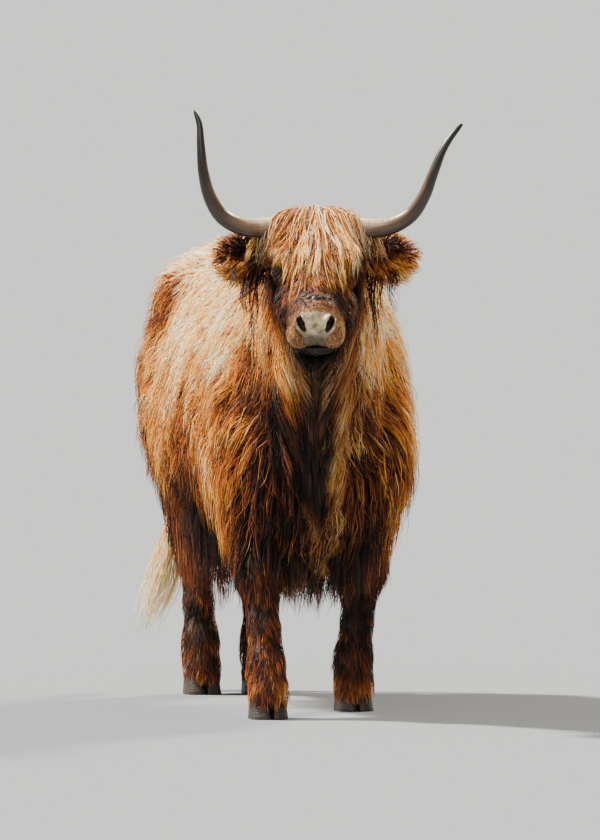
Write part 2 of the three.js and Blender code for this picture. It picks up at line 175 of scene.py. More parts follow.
# Sections of the trunk under the coat: how far back, top, bottom, half width, widest level.
TRUNK = np.array(
    [
        [-238, 770, 560, 60, 665],
        [-205, 880, 500, 118, 670],
        [-120, 1010, 445, 172, 680],
        [0, 1090, 425, 208, 690],
        [110, 1116, 422, 220, 690],
        [240, 1104, 425, 224, 690],
        [420, 1082, 432, 230, 680],
        [600, 1082, 440, 232, 680],
        [780, 1092, 462, 222, 690],
        [930, 1098, 520, 198, 710],
        [1060, 1088, 600, 164, 750],
        [1150, 1054, 680, 120, 810],
        [1205, 1004, 760, 66, 870],
    ]
)
ROUNDNESS_ABOVE, ROUNDNESS_BELOW = 1.85, 2.15  # 2 is an oval section


def trunk_form(x, y, z):
    """The barrel of the body, smooth between its sections."""
    back = (y - FEET[1]) / MM
    side, high = (x - FEET[0]) / MM, z / MM
    top, low, half, level = (along_table(TRUNK, i, back) for i in (1, 2, 3, 4))
    above = high > level
    tall = np.where(above, top - level, level - low)
    power = np.where(above, ROUNDNESS_ABOVE, ROUNDNESS_BELOW)
    q = (np.abs(side / half) ** power + np.abs((high - level) / tall) ** power) ** (1 / power)
    across = (q - 1) * np.minimum(half, tall)
    ends = np.maximum(TRUNK[0, 0] - back, back - TRUNK[-1, 0])
    return np.maximum(across, ends) * MM


trunk_form.low = at(-245, -240, 400)
trunk_form.high = at(245, 1210, 1130)


def mirrored(make):
    """The forms that make(side) gives, for both sides."""
    return [form for side in (RIGHT, LEFT) for form in make(side)]


def trunk_side(side):
    return [
        oval(at(112 * side, 20, 780), (82, 150, 230)),  # shoulder blade
        oval(at(132 * side, -110, 640), (62, 110, 110)),  # point of the shoulder
        oval(at(138 * side, 880, 1004), (52, 90, 54)),  # hip bone
        oval(at(112 * side, 960, 770), (98, 180, 210)),  # thigh
        oval(at(96 * side, 1160, 930), (44, 60, 60)),  # pin bone
    ]


def neck_forms():
    crest = chain([at(0, 70, 1020), at(-20, -190, 1060), at(-70, -430, 1112)], (90, 80, 70))
    middle = chain([at(0, 0, 880), at(-20, -200, 930), at(-74, -440, 1050)], (144, 114, 82))
    throat = chain([at(0, -110, 700), at(-26, -250, 800), at(-78, -450, 990)], (112, 96, 70))
    dewlap = chain([at(0, -170, 600), at(-24, -280, 730), at(-60, -400, 880)], (40, 38, 34))
    return crest + middle + throat + dewlap


def fore_leg(side):
    foot_x, foot_y = FORE_FOOT[side]

    def joint(share, bow, z):
        return at(150 * side + (foot_x - 150 * side) * share, 12 + (foot_y - 12) * share + bow, z)

    points = [
        joint(0, -20, 740),
        joint(0.05, -8, 600),
        joint(0.18, 8, 500),
        joint(0.5, -2, 370),
        joint(0.56, -4, 335),
        joint(0.8, 0, 215),
        joint(0.94, 4, 135),
        joint(1, -6, 70),
        joint(1, -8, 46),
    ]
    heel = [oval(at(foot_x + 17 * out, foot_y + 36, 106), (17, 24, 26)) for out in (-1, 1)]
    return chain(points, (66, 60, 50, 40, 41, 30, 36, 36, 37), (1, 1.16)) + heel


def hind_leg(side):
    foot_y = HIND_FOOT[side][1]

    def joint(x, back, z):
        return at(x * side, foot_y + back, z)

    upper = chain(
        [joint(132, -60, 800), joint(126, -100, 640), joint(104, -6, 520), joint(88, 52, 440)],
        (110, 92, 58, 38),
        (0.8, 1.2),
    )
    heel = chain([joint(88, 88, 470), joint(84, 70, 400)], (17, 26))
    lower = chain(
        [joint(86, 58, 420), joint(80, 50, 340), joint(76, 34, 230), joint(74, 14, 140),
         joint(74, -2, 74), joint(74, -6, 46)],
        (37, 30, 29, 36, 35, 36),
        (1, 1.1),
    )
    fetlock = [oval(joint(74 + 17 * out, 36, 106), (17, 24, 26)) for out in (-1, 1)]
    return upper + heel + lower + fetlock


def tail_forms():
    points = [
        at(0, 1150, 1070), at(0, 1215, 1062), at(-2, 1262, 1030), at(-8, 1292, 950),
        at(-18, 1302, 820), at(-31, 1302, 680), at(-50, 1295, 560), at(-78, 1288, 440),
    ]
    return chain(points, (40, 30, 24, 19, 16, 13, 11, 7))


def head_oval(side, along, off, *radii):
    return oval(on_head(side, along, off), radii, HEAD_AXES)


def skull_forms():
    return [
        head_oval(0, 40, -72, 84, 78, 68),  # cranium
        head_oval(0, 6, -30, 66, 44, 34),  # poll
        head_oval(0, 104, -58, 94, 104, 54),  # forehead
        *chain([on_head(0, 140, -64), on_head(0, 250, -60), on_head(0, 352, -54)], (60, 57, 50)),
        *chain([on_head(0, 60, -150), on_head(0, 350, -104)], (48, 26)),  # jaw
        head_oval(0, 372, -48, 54, 52, 43),  # muzzle
        head_oval(0, 366, -112, 50, 46, 20),  # chin
    ]


def skull_side(side):
    return [
        head_oval(46 * side, 250, -80, 30, 92, 42),  # cheek bone
        head_oval(58 * side, 108, -120, 32, 74, 66),  # jaw muscle
        *chain([on_head(36 * side, 60, -160), on_head(24 * side, 330, -114)], (26, 19)),
        head_oval(32 * side, 376, -74, 28, 48, 31),  # upper lip
        head_oval(43 * side, 370, -86, 18, 44, 19),  # corner of the lip
        head_oval(66 * side, 146, -26, 26, 44, 18),  # brow
        head_oval(60 * side, 4, -34, 36, 32, 30),  # root of the horn
    ]


EYE_RADIUS = 19
EYE_PLACE = (84, 158, -44)  # of the left eye, as in on_head()


def eye_centre(side):
    return on_head(EYE_PLACE[0] * side, EYE_PLACE[1], EYE_PLACE[2])


def face_details(side):
    """Forms that are added and cut out last, with tighter blends: (form, blend, is a cut)."""
    s, a, o = EYE_PLACE
    gaze = on_head((s + 15) * side, a + 4, o + 1)
    return [
        (head_oval((s - 10) * side, a, o - 2, 30, 42, 30), 20, False),  # eye socket
        (oval(eye_centre(side), [EYE_RADIUS + 5] * 3), 5, False),  # lids
        (oval(gaze, (15, 18, 9.5), HEAD_AXES), 2.5, True),  # between the lids
        (oval(eye_centre(side), [EYE_RADIUS + 0.6] * 3), 1, True),
        (head_oval(33 * side, 408, -32, 18, 15, 20), 9, False),  # wing of the nostril
        (head_oval(33 * side, 424, -33, 8.5, 30, 13), 4, True),  # nostril
        (head_oval(39 * side, 419, -20, 8, 22, 8), 4, True),
        (head_oval(28 * side, 428, -46, 6.5, 22, 9), 4, True),
    ]


MOUTH = (388, -104)  # a point between the lips: along and off the face
MOUTH_TILT = math.radians(10)
LIP_LINE_DEPTH, LIP_LINE_WIDTH = 5.5, 2.8
MOUTH_REACH = 0.1  # how far round the mouth the line is pressed in, in metres


def above_mouth(along, off):
    """Millimetres above the line between the lips."""
    return off - MOUTH[1] - (along - MOUTH[0]) * math.tan(MOUTH_TILT)


KNOBS = [(-15, 350, 6.5), (1, 354, 7.5), (17, 350, 6)]  # side, along and size


def nose_details():
    fold = [on_head(x, 352 - abs(x) * 0.42, -5 - x * x / 260) for x in (-36, -18, 0, 18, 36)]
    return [
        (limb(on_head(0, 431, -40), on_head(0, 424, -84), 3.0, 3.5), 5, True),  # groove of the lip
        *((form, 6, False) for form in chain(fold, (2, 4, 5, 4, 2))),  # fold over the nose
        *((head_oval(x, y, -1, r * 1.3, r, r), 4, False) for x, y, r in KNOBS),
    ]


EAR_ROOT, EAR_TIP = 84, 222  # from the middle of the head, in millimetres
EAR_BACK = 40


def on_ear(side, out, up, forward):
    """A point on the ear: outwards from the middle of the head, above the ear's line, forwards."""
    drop = 86 + 0.1 * (out - EAR_ROOT)
    point = POLL + HEAD_SIDE * side * out * MM + LEVEL_FORWARD * (forward - EAR_BACK) * MM
    return point + UP * (up - drop) * MM


def ear_forms(side):
    """The ear is a leaf with a deep cup in front. Same layout as the face details."""
    axes = (HEAD_SIDE, LEVEL_FORWARD, UP)
    middle = (EAR_ROOT + EAR_TIP) / 2 + 4
    return [
        (oval(on_ear(side, middle, 0, 0), (72, 20, 36), axes), 14, False),
        (limb(on_ear(side, 62, -4, 0), on_ear(side, 104, -2, 2), 30, 24), 16, False),
        (oval(on_ear(side, middle + 2, 1, 17), (60, 21, 26), axes), 5, True),
    ]


PARTS = {
    "trunk": [trunk_form] + mirrored(trunk_side),
    "neck": neck_forms(),
    "head": skull_forms() + mirrored(skull_side),
    "fore_right": fore_leg(RIGHT),
    "fore_left": fore_leg(LEFT),
    "hind_right": hind_leg(RIGHT),
    "hind_left": hind_leg(LEFT),
    "tail": tail_forms(),
}
BLENDS = {"trunk": 60, "neck": 50, "head": 22, "tail": 12}
LEG_BLEND = 26
PART_NAMES = list(PARTS) + ["ear_right", "ear_left"]

# ------------------------------------------------------------------ the skin
REACH = 0.13  # how far from a form its distance still counts, in metres
EAR_REACH, DETAIL_REACH = 0.08, 0.03  # the same for the ears, and for small forms and cuts


def axis_of(low, high, fine_low, fine_high, coarse, fine):
    """Grid lines from low to high, closer together between fine_low and fine_high."""
    before = np.arange(low, fine_low, coarse)
    inner = np.arange(fine_low, fine_high, fine)
    after = np.arange(fine_high, high, coarse)
    return np.concatenate([before, inner, after])


# Lines along X, Y and Z in metres, finest round the head. The skin is worked out where they cross.
GRID = (
    axis_of(-0.40, 0.47, -0.285, 0.20, 0.012, 0.003),
    axis_of(-1.12, 1.22, -1.10, -0.715, 0.012, 0.003),
    axis_of(-0.03, 1.35, 0.86, 1.215, 0.012, 0.003),
)


def blended(a, b, width, cut):
    """The smooth union of two distances, or the smooth cut of b out of a."""
    if cut:
        return -blended(-a, b, width, False)
    h = np.clip(0.5 + 0.5 * (b - a) / width, 0, 1)
    return b * (1 - h) + a * h - width * h * (1 - h)


def grid_box(low, high):
    """The part of the grid between two corners, as slices, and its lines along X, Y and Z."""
    box = tuple(slice(*np.searchsorted(GRID[i], (low[i], high[i]))) for i in range(3))
    return box, [GRID[i][box[i]] for i in range(3)]


def add_form(field, form, blend, cut=False, reach=REACH):
    box, lines = grid_box(form.low - reach, form.high + reach)
    x, y, z = np.meshgrid(*lines, indexing="ij", sparse=True)
    field[box] = blended(field[box], form(x, y, z), blend * MM, cut)


def press_mouth(field):
    """Presses the line between the lips into the muzzle."""
    middle = on_head(0, 380, -100)
    box, lines = grid_box(middle - MOUTH_REACH, middle + MOUTH_REACH)
    points = np.stack(np.meshgrid(*lines, indexing="ij"), -1)
    _, along, off = np.moveaxis(head_coordinates(points), -1, 0)
    line = np.exp(-((above_mouth(along, off) / LIP_LINE_WIDTH) ** 2)) * ramp(along, 325, 350)
    field[box] += LIP_LINE_DEPTH * line * MM


def body_field():
    """Metres to the skin at every crossing of the grid lines, negative inside the body."""
    far_off = 0.5
    field = np.full([len(a) for a in GRID], far_off, np.float32)
    for name, forms in PARTS.items():
        for form in forms:
            add_form(field, form, BLENDS.get(name, LEG_BLEND))
    details = nose_details()
    for side in (RIGHT, LEFT):
        details = details + face_details(side)
    for form, blend, cut in details:
        add_form(field, form, blend, cut, DETAIL_REACH)
    for side in (RIGHT, LEFT):
        for form, blend, cut in ear_forms(side):
            add_form(field, form, blend, cut, DETAIL_REACH if cut else EAR_REACH)
    press_mouth(field)
    return field


def surface_of(field):
    """Vertices and outward quads of the surface where the field is zero."""
    inside = field < 0
    corners = [(i, j, k) for i in (0, 1) for j in (0, 1) for k in (0, 1)]
    shape = [n - 1 for n in field.shape]

    def shifted(array, corner):
        return array[tuple(slice(c, c + n) for c, n in zip(corner, shape))]

    count = sum(shifted(inside, c).astype(np.int8) for c in corners)
    cells = np.argwhere((count > 0) & (count < 8))
    values = {c: field[tuple((cells + c).T)] for c in corners}
    total, hits = np.zeros((len(cells), 3)), np.zeros((len(cells), 1))
    for start in corners:
        for axis in range(3):
            if start[axis] == 1:
                continue
            end = tuple(v + (n == axis) for n, v in enumerate(start))
            a, b = values[start], values[end]
            crossed = (a < 0) != (b < 0)
            share = np.where(crossed, a / np.where(crossed, a - b, 1), 0)
            point = np.array(start) + np.outer(share, np.eye(3)[axis])
            total += np.where(crossed[:, None], point, 0)
            hits += crossed[:, None]
    inner = total / hits
    spots = np.stack(
        [
            GRID[n][cells[:, n]] + inner[:, n] * (GRID[n][cells[:, n] + 1] - GRID[n][cells[:, n]])
            for n in range(3)
        ],
        1,
    )
    number = np.full(shape, -1, np.int32)
    number[tuple(cells.T)] = np.arange(len(cells))
    quads = []
    for axis in range(3):
        u, v = [(1, 2), (2, 0), (0, 1)][axis]
        low = [slice(1, -1)] * 3
        low[axis] = slice(0, -1)
        high = list(low)
        high[axis] = slice(1, None)
        first, second = inside[tuple(low)], inside[tuple(high)]
        edges = np.argwhere(first != second)
        leaves = first[tuple(edges.T)]
        edges = edges + 1
        edges[:, axis] -= 1
        ring = []
        for du, dv in ((1, 1), (0, 1), (0, 0), (1, 0)):
            cell = edges.copy()
            cell[:, u] -= du
            cell[:, v] -= dv
            ring.append(number[tuple(cell.T)])
        ring = np.stack(ring, 1)
        quads.append(np.where(leaves[:, None], ring, ring[:, ::-1]))
    return spots, np.concatenate(quads)


def make_mesh(name, points, faces_by_size):
    """A mesh from points and from a list of face arrays, each with its own number of corners."""
    mesh = bpy.data.meshes.new(name)
    loops = np.concatenate([f.ravel() for f in faces_by_size]).astype(np.int32)
    sizes = np.concatenate([np.full(len(f), f.shape[1], np.int32) for f in faces_by_size])
    starts = np.concatenate([[0], np.cumsum(sizes)[:-1]]).astype(np.int32)
    mesh.vertices.add(len(points))
    mesh.loops.add(len(loops))
    mesh.polygons.add(len(sizes))
    mesh.vertices.foreach_set("co", points.astype(np.float32).ravel())
    mesh.loops.foreach_set("vertex_index", loops)
    mesh.polygons.foreach_set("loop_start", starts)
    mesh.polygons.foreach_set("use_smooth", np.ones(len(sizes), bool))
    mesh.update(calc_edges=True)
    return mesh


def store(mesh, name, values, kind="FLOAT"):
    """Keeps a value for each point of a mesh, for its material to read."""
    key = "value" if kind == "FLOAT" else "vector"
    values = np.asarray(values, np.float32).ravel()
    mesh.attributes.new(name, kind, "POINT").data.foreach_set(key, values)


def make_piece(name, mesh, material, replaced=()):
    """Puts a mesh in the scene as a piece of the one body."""
    piece = bpy.data.objects.new(name, mesh)
    bpy.context.scene.collection.objects.link(piece)
    mesh.materials.append(material)
    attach(piece, "root")
    if replaced:
        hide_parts(*replaced)


def grid_value(array, points):
    """The value of a grid array at points in metres."""
    index, share = [], []
    for n in range(3):
        p = np.clip(points[:, n], GRID[n][0], GRID[n][-1] - 1e-5)
        i = np.clip(np.searchsorted(GRID[n], p, side="right") - 1, 0, len(GRID[n]) - 2)
        index.append(i)
        share.append((p - GRID[n][i]) / (GRID[n][i + 1] - GRID[n][i]))
    total = np.zeros(len(points))
    for i in (0, 1):
        for j in (0, 1):
            for k in (0, 1):
                weight = 1.0
                for n, c in enumerate((i, j, k)):
                    weight = weight * (share[n] if c else 1 - share[n])
                total += weight * array[index[0] + i, index[1] + j, index[2] + k]
    return total


def outward(array, points, step=0.008):
    """The direction away from the body at each point."""
    slopes = [
        grid_value(array, points + shift) - grid_value(array, points - shift)
        for shift in np.eye(3) * step
    ]
    return unit(np.stack(slopes, 1))


field = body_field()
skin_points, skin_quads = surface_of(field)


# ------------------------------------------------------------------ where the coat grows
PART_BLEND = 0.016  # metres over which one part gives way to the next


def part_shares(points):
    """How much each point belongs to each of PART_NAMES. Each row adds up to 1."""
    x, y, z = points.T
    forms = list(PARTS.values()) + [
        [form for form, _, cut in ear_forms(side) if not cut] for side in (RIGHT, LEFT)
    ]
    gaps = np.stack([np.min([form(x, y, z) for form in group], axis=0) for group in forms], 1)
    shares = np.exp(-(gaps - gaps.min(1, keepdims=True)) / PART_BLEND)
    return shares / shares.sum(1, keepdims=True)


def share_of(shares, *starts):
    """Total share of the parts whose names start with one of `starts`."""
    picked = [i for i, name in enumerate(PART_NAMES) if name.startswith(starts)]
    return shares[:, picked].sum(1)


def skin_roots(density_at):
    """Random points on the skin. density_at(points, facing, shares) gives them per square metre."""
    corners = skin_points[skin_quads]
    halves = np.concatenate([corners[:, [0, 1, 2]], corners[:, [0, 2, 3]]])
    cross = np.cross(halves[:, 1] - halves[:, 0], halves[:, 2] - halves[:, 0])
    area = np.linalg.norm(cross, axis=1) / 2
    middle = halves.mean(1)
    expected = area * density_at(middle, unit(cross), part_shares(middle))
    count = np.floor(expected + random.random(len(area))).astype(int)
    chosen = np.repeat(np.arange(len(area)), count)
    u, v = random.random((2, len(chosen), 1))
    flip = u + v > 1
    u, v = np.where(flip, 1 - u, u), np.where(flip, 1 - v, v)
    a, b, c = (halves[chosen, i] for i in range(3))
    return a + (b - a) * u + (c - a) * v


def head_flow(points):
    """The lie of the hair on the face: outwards from the nose bridge, then down and back."""
    side, along, off = head_coordinates(points).T
    front = ramp(off, -70, -20) * ramp(along, 90, 180)
    brow = ramp(off, -70, -20) * (1 - ramp(along, 90, 180))
    cheek = 1 - front - brow
    across = np.clip(side / 50, -1, 1)
    lower = ramp(along, 300, 380) * ramp(-off, 70, 110)
    return (
        np.outer(front * across, HEAD_SIDE)
        + np.outer(0.25 * front + brow - 0.35 * cheek * (1 - lower) + 0.3 * lower, HEAD_ALONG)
        - np.outer(0.35 * front + 0.1 * brow + 0.9 * cheek, UP)
    )


def lie_of_coat(points, facing, shares):
    """The direction in which the hair lies, before it bends over the body."""
    rear = np.array([0.0, 1.0, 0.0])
    high = ramp(facing[:, 2], 0.3, 0.95)
    outwards = np.clip((points[:, 0] - FEET[0]) / 0.06, -1, 1) * high
    trunk = share_of(shares, "trunk", "tail")
    neck = share_of(shares, "neck")
    legs = share_of(shares, "fore", "hind")
    head = share_of(shares, "head")
    flow = np.outer(-(trunk + neck + legs), UP)
    flow += np.outer(0.56 * trunk + 0.4 * neck + 0.08 * legs, rear)
    flow[:, 0] += 0.9 * outwards * (trunk + neck)
    flow += head[:, None] * head_flow(points)
    for side, name in SIDE_NAMES.items():
        flow += np.outer(share_of(shares, f"ear_{name}"), 0.55 * side * HEAD_SIDE - 0.8 * UP)
    swirl = 0.42 * wobble(points, 0.3, 8) + 0.4 * wobble(points, 0.1, 9)
    across = unit(np.cross(facing, flow))
    return flow + across * (swirl * (0.25 + 0.75 * (trunk + neck)))[:, None]


def tangent_to(facing, direction):
    """The direction, turned to lie along the surface."""
    return unit(direction - facing * np.sum(facing * direction, 1, keepdims=True))


ROOT_DEPTH = 0.001  # metres that a hair starts inside the skin


def grow(roots, shares, length, depth, lift, hug, steps, flow=None, hang=1.0):
    """
    Paths of hairs from their roots, each as steps + 1 points, with the facing at each point.
    length and depth are in metres, depth is the height of the tip over the skin, lift is how
    steeply the hair leaves the skin, hug is how closely it follows the body, and hang is how far
    it gives way to its weight where it is clear of the body.
    """
    facing = outward(field, roots)
    flow_at = (lambda p, f: lie_of_coat(p, f, shares)) if flow is None else flow
    heading = tangent_to(facing, flow_at(roots, facing))
    heading = unit(facing * lift[:, None] + heading * (1 - lift[:, None]))
    point = roots - facing * ROOT_DEPTH
    points, facings = [point], [facing]
    stride = (length / steps)[:, None]
    for n in range(1, steps + 1):
        point = point + heading * stride
        gap = grid_value(field, point)
        facing = outward(field, point)
        want = depth * (1 - math.exp(-3.2 * n / steps)) + ROOT_DEPTH
        settle = np.where(gap < want, 1.0, hug * ramp(facing[:, 2], -0.35, 0.1))
        point = point + facing * ((want - gap) * settle)[:, None]
        free = ramp(gap, 0.01, 0.06)[:, None] * hang
        lying = tangent_to(facing, flow_at(point, facing))
        heading = unit(heading * 0.45 + lying * 0.55 * (1 - free) - UP * free * 0.8)
        points.append(point)
        facings.append(facing)
    paths = np.stack(points, 1)
    paths[:, 1:-1] = (paths[:, :-2] + 2 * paths[:, 1:-1] + paths[:, 2:]) / 4
    return paths, np.stack(facings, 1)


def gather(paths, size, pull, seed, per_lock=7):
    """Draws hairs together towards the middles of locks of about `size` metres, more at the tips."""
    dice = np.random.default_rng(seed)
    roots = paths[:, 0]
    wanted = max(1, int(len(roots) / per_lock))
    centres = roots[dice.choice(len(roots), wanted, replace=False)]
    tree = KDTree(len(centres))
    for i, centre in enumerate(centres):
        tree.insert(centre, i)
    tree.balance()
    lock = np.array([tree.find(root)[1] for root in roots])
    count = np.bincount(lock, minlength=wanted)[:, None, None]
    middle = np.zeros((wanted,) + paths.shape[1:])
    np.add.at(middle, lock, paths)
    middle = (middle / np.maximum(count, 1))[lock]
    spread = np.linalg.norm(paths[:, :1] - middle[:, :1], axis=2, keepdims=True)
    share = np.linspace(0, 1, paths.shape[1])[None, :, None] ** 1.3
    hold = pull * (1 - ramp(spread, size, 2.5 * size)) * share
    return paths + (middle - paths) * hold, lock


def wave(paths, facings, lock, width, turns_per_hair, seed):
    """Bends hairs from side to side, in step within each lock."""
    dice = np.random.default_rng(seed)
    locks = lock.max() + 1
    phase = dice.uniform(0, 2 * math.pi, locks)[lock] + dice.normal(0, 0.35, len(lock))
    turns = turns_per_hair * dice.uniform(0.7, 1.3, locks)[lock]
    share = np.linspace(0, 1, paths.shape[1])
    heading = unit(np.gradient(paths, axis=1))
    across = unit(np.cross(heading, facings))
    angle = 2 * math.pi * turns[:, None] * share + phase[:, None]
    swing = np.sin(angle) - np.sin(phase)[:, None]
    amount = width[:, None] * swing * share**0.6
    rise = width[:, None] * 0.4 * np.cos(angle) * share
    return paths + across * amount[:, :, None] + facings * rise[:, :, None]


# ------------------------------------------------------------------ markings, with painted light and shade
def markings_and_painted_light(points, facing, shares):
    """The tone of hide and coat, from 0 (nearly black) through rust and gold to 1 (cream), with painted
    highlights and painted shade laid over the coat's own colours.
    """
    x, y, z = (points - FEET).T
    wide = np.abs(x)
    side, along, off = head_coordinates(points).T
    head = share_of(shares, "head")
    fore, hind = share_of(shares, "fore"), share_of(shares, "hind")
    trunk = share_of(shares, "trunk", "tail")
    neck = share_of(shares, "neck")
    ears = share_of(shares, "ear")
    # Painted highlight: coat that faces upwards is made paler, as if lit from above.
    back = ramp(facing[:, 2], -0.1, 0.75)
    nape = 1 - ramp(np.linalg.norm(points - POLL, axis=1), 0.12, 0.26)
    # Painted shade in the hollow behind the ribs, in front of the hip.
    loin_shade = near(y, 0.86, 0.26) * near(z, 0.975, 0.13) * ramp(wide, 0.06, 0.12)
    # Painted highlight on the upper flank.
    lit_flank = ramp(y, -0.1, 0.2) * ramp(z, 0.5, 0.8) * (1 - ramp(y, 0.9, 1.15))
    # Painted highlight on the shoulder, also used on the neck beside it and on the tops of the fore legs.
    shoulder = near(y + 0.03 * (z - 0.6), 0.0, 0.19) * ramp(wide, 0.13, 0.19)
    # Painted rim light: coat on the rear half that faces straight out to the side is made paler.
    rim_light = ramp(y, 0.5, 0.8) * ramp(np.abs(facing[:, 0]), 0.7, 1.0)
    # Painted shade low on the sides of the barrel.
    belly_shade = near(z, 0.5, 0.18) * ramp(y, 0.22, 0.4) * (1 - ramp(y, 0.75, 0.95))
    # Painted shade in the hollows at both sides of the chest, low at the front.
    chest_shade = near(x + 0.11, 0, 0.13) + 0.4 * near(x - 0.09, 0, 0.1)
    chest_shade *= (1 - ramp(y, -0.12, 0.04)) * (1 - ramp(z, 0.72, 0.92))
    # Painted shade low on the sides, behind the elbow.
    elbow_shade = near(y, 0.36, 0.26) * (1 - ramp(z, 0.6, 0.84)) * ramp(wide, 0.1, 0.18)
    # Painted shade down the middle of the chest.
    middle = near(x + 0.01, 0, 0.1) * (1 - ramp(y, -0.2, -0.04)) * (1 - ramp(z, 0.8, 0.95))
    # Painted shade: the lower body is darker.
    low = 1 - ramp(z, 0.36, 0.72)
    # Painted shade at the rear, where the coat does not face up.
    rump_shade = ramp(y, 0.85, 1.1) * (1 - back)
    jaw_side = np.minimum(-0.171 + 0.35 * (0.886 - z), -0.105)  # where the jaw's shade ends
    # Painted shade on the throat below the jaw.
    throat = ramp(x - jaw_side, -0.015, 0.015) * (1 - ramp(x, -0.02, 0.02)) * (1 - back)
    tone = trunk * (0.5 + 0.3 * back + 0.12 * lit_flank + 0.34 * shoulder - 0.2 * elbow_shade)
    # Painted shade, taken off the trunk's tone.
    dark = 0.28 * low + 0.04 * rump_shade + 0.42 * loin_shade + 0.08 * belly_shade
    tone -= trunk * (dark - 0.12 * rim_light * ramp(z, 0.6, 0.78))
    # Painted highlights on the neck: down the outer part of her right side, and high up from the middle to
    # her left.
    sides = 0.12 * ramp(-x, 0.08, 0.18) + 0.26 * ramp(-x, 0.1, 0.15) * ramp(z, 0.83, 0.92)
    sides += 0.32 * ramp(x, 0.0, 0.035) * ramp(z, 0.8, 0.9)
    tone += neck * (0.54 + sides + 0.2 * back + 0.16 * shoulder - 0.34 * throat - 0.22 * nape)
    tone -= (trunk + neck) * (0.32 * chest_shade + 0.03 * middle)
    # Painted shade on the inner sides of the upper legs.
    inner = ramp(-facing[:, 0] * np.sign(x), -0.1, 0.6)
    upper = ramp(z, 0.22, 0.5)
    leg_top = ramp(z, 0.3, 0.5)
    # Near the top, the fore legs take the shoulder's painted highlight and the hind legs take the painted
    # rim light.
    tone += (0.25 + 0.3 * shoulder * leg_top) * fore + (0.31 + 0.05 * rim_light * leg_top) * hind
    tone += (fore + hind) * (-0.16 * inner * upper - 0.03 * upper + 0.14 * near(z, 0.06, 0.09))
    brow = ramp(off, -90, -10) * (1 - ramp(along, 60, 190)) * (1 - ramp(np.abs(side), 56, 84))
    bridge = near(side, 0, 52) * ramp(off, -44, -12) * ramp(along, 190, 300)
    # Painted shade on the lower cheeks and jaw.
    cheek = ramp(-off, 44, 80) * (1 - ramp(along, 290, 350))
    lip = ramp(along, 350, 388) * ramp(above_mouth(along, off), 0, 6)
    lip *= 1 - 0.6 * near(side, 0, 40)
    chin = ramp(along, 250, 330) * ramp(-off, 88, 104)
    arc = near(along + np.abs(side) * 0.42, 350, 17) * ramp(off, -60, -20)
    chin += 0.8 * ramp(along, 330, 350) * ramp(-above_mouth(along, off), 0, 5)
    face = 0.28 + 0.24 * brow + 0.1 * bridge - 0.1 * cheek + 0.3 * lip
    tone += head * (face - 0.04 * np.minimum(chin, 1) - 0.2 * arc)
    tone += ears * (0.4 + 0.16 * ramp(np.abs(side), 150, 215))
    tone += 0.09 * wobble(points, 0.24, 5) + 0.07 * wobble(points, 0.07, 6)
    return np.clip(tone, 0, 1)


def dunness(points, shares):
    """How far the coat turns from rust and gold to dun: on the lips, jaw, throat and breast."""
    _, along, off = head_coordinates(points).T
    x, y = (points - FEET).T[:2]
    lips = 0.55 * ramp(along, 345, 385)
    jaw = 0.5 * ramp(-off, 84, 110) * ramp(along, 60, 160)
    breast = 0.35 * (1 - ramp(y, -0.2, -0.04)) * near(x + 0.02, 0, 0.12)
    return share_of(shares, "head") * (lips + jaw) + share_of(shares, "trunk", "neck") * breast


# ------------------------------------------------------------------ from hairs to mesh
SHELF = {  # where each part lies on the unwrap of the skin: left, bottom, width, height
    "trunk": (0.0, 0.0, 0.55, 0.6),
    "neck": (0.56, 0.0, 0.2, 0.6),
    "head": (0.77, 0.0, 0.23, 0.6),
    "fore_right": (0.0, 0.62, 0.2, 0.37),
    "fore_left": (0.21, 0.62, 0.2, 0.37),
    "hind_right": (0.42, 0.62, 0.2, 0.37),
    "hind_left": (0.63, 0.62, 0.2, 0.37),
    "tail": (0.84, 0.62, 0.05, 0.37),
    "ear_right": (0.9, 0.62, 0.09, 0.18),
    "ear_left": (0.9, 0.81, 0.09, 0.18),
}


def unwrap(points, shares):
    """Places of points on an unwrap of the skin: each part is rolled out round its own axis."""
    place = np.zeros((len(points), 2))
    part = shares.argmax(1)
    head = head_coordinates(points)
    local = (points - FEET) / MM
    for i, name in enumerate(PART_NAMES):
        mine = part == i
        if not mine.any():
            continue
        x, y, z = local[mine].T
        if name in ("trunk", "neck"):
            length, turn = y, np.arctan2(x - x.mean(), z - 750 if name == "trunk" else z - 930)
        elif name == "head":
            length, turn = head[mine, 1], np.arctan2(head[mine, 0], head[mine, 2] + 80)
        elif name.startswith("ear"):
            length, turn = head[mine, 0], np.arctan2(y - y.mean(), z - z.mean())
        else:
            slope = np.polyfit(z, np.stack([x, y], 1), 2)
            axis = np.stack([np.polyval(slope[:, k], z) for k in (0, 1)])
            length, turn = z, np.arctan2(x - axis[0], y - axis[1])
        left, bottom, wide, high = SHELF[name]
        span = (length - length.min()) / max(np.ptp(length), 1e-6)
        place[mine, 0] = left + wide * (0.01 + 0.97 * span)
        place[mine, 1] = bottom + high * (0.01 + 0.97 * (turn / (2 * math.pi) + 0.5))
    return place


PATCH = 0.003  # size of one hair's patch on the unwrap


HAIR_FLATNESS = 0.45  # height of a hair's section as a share of its width


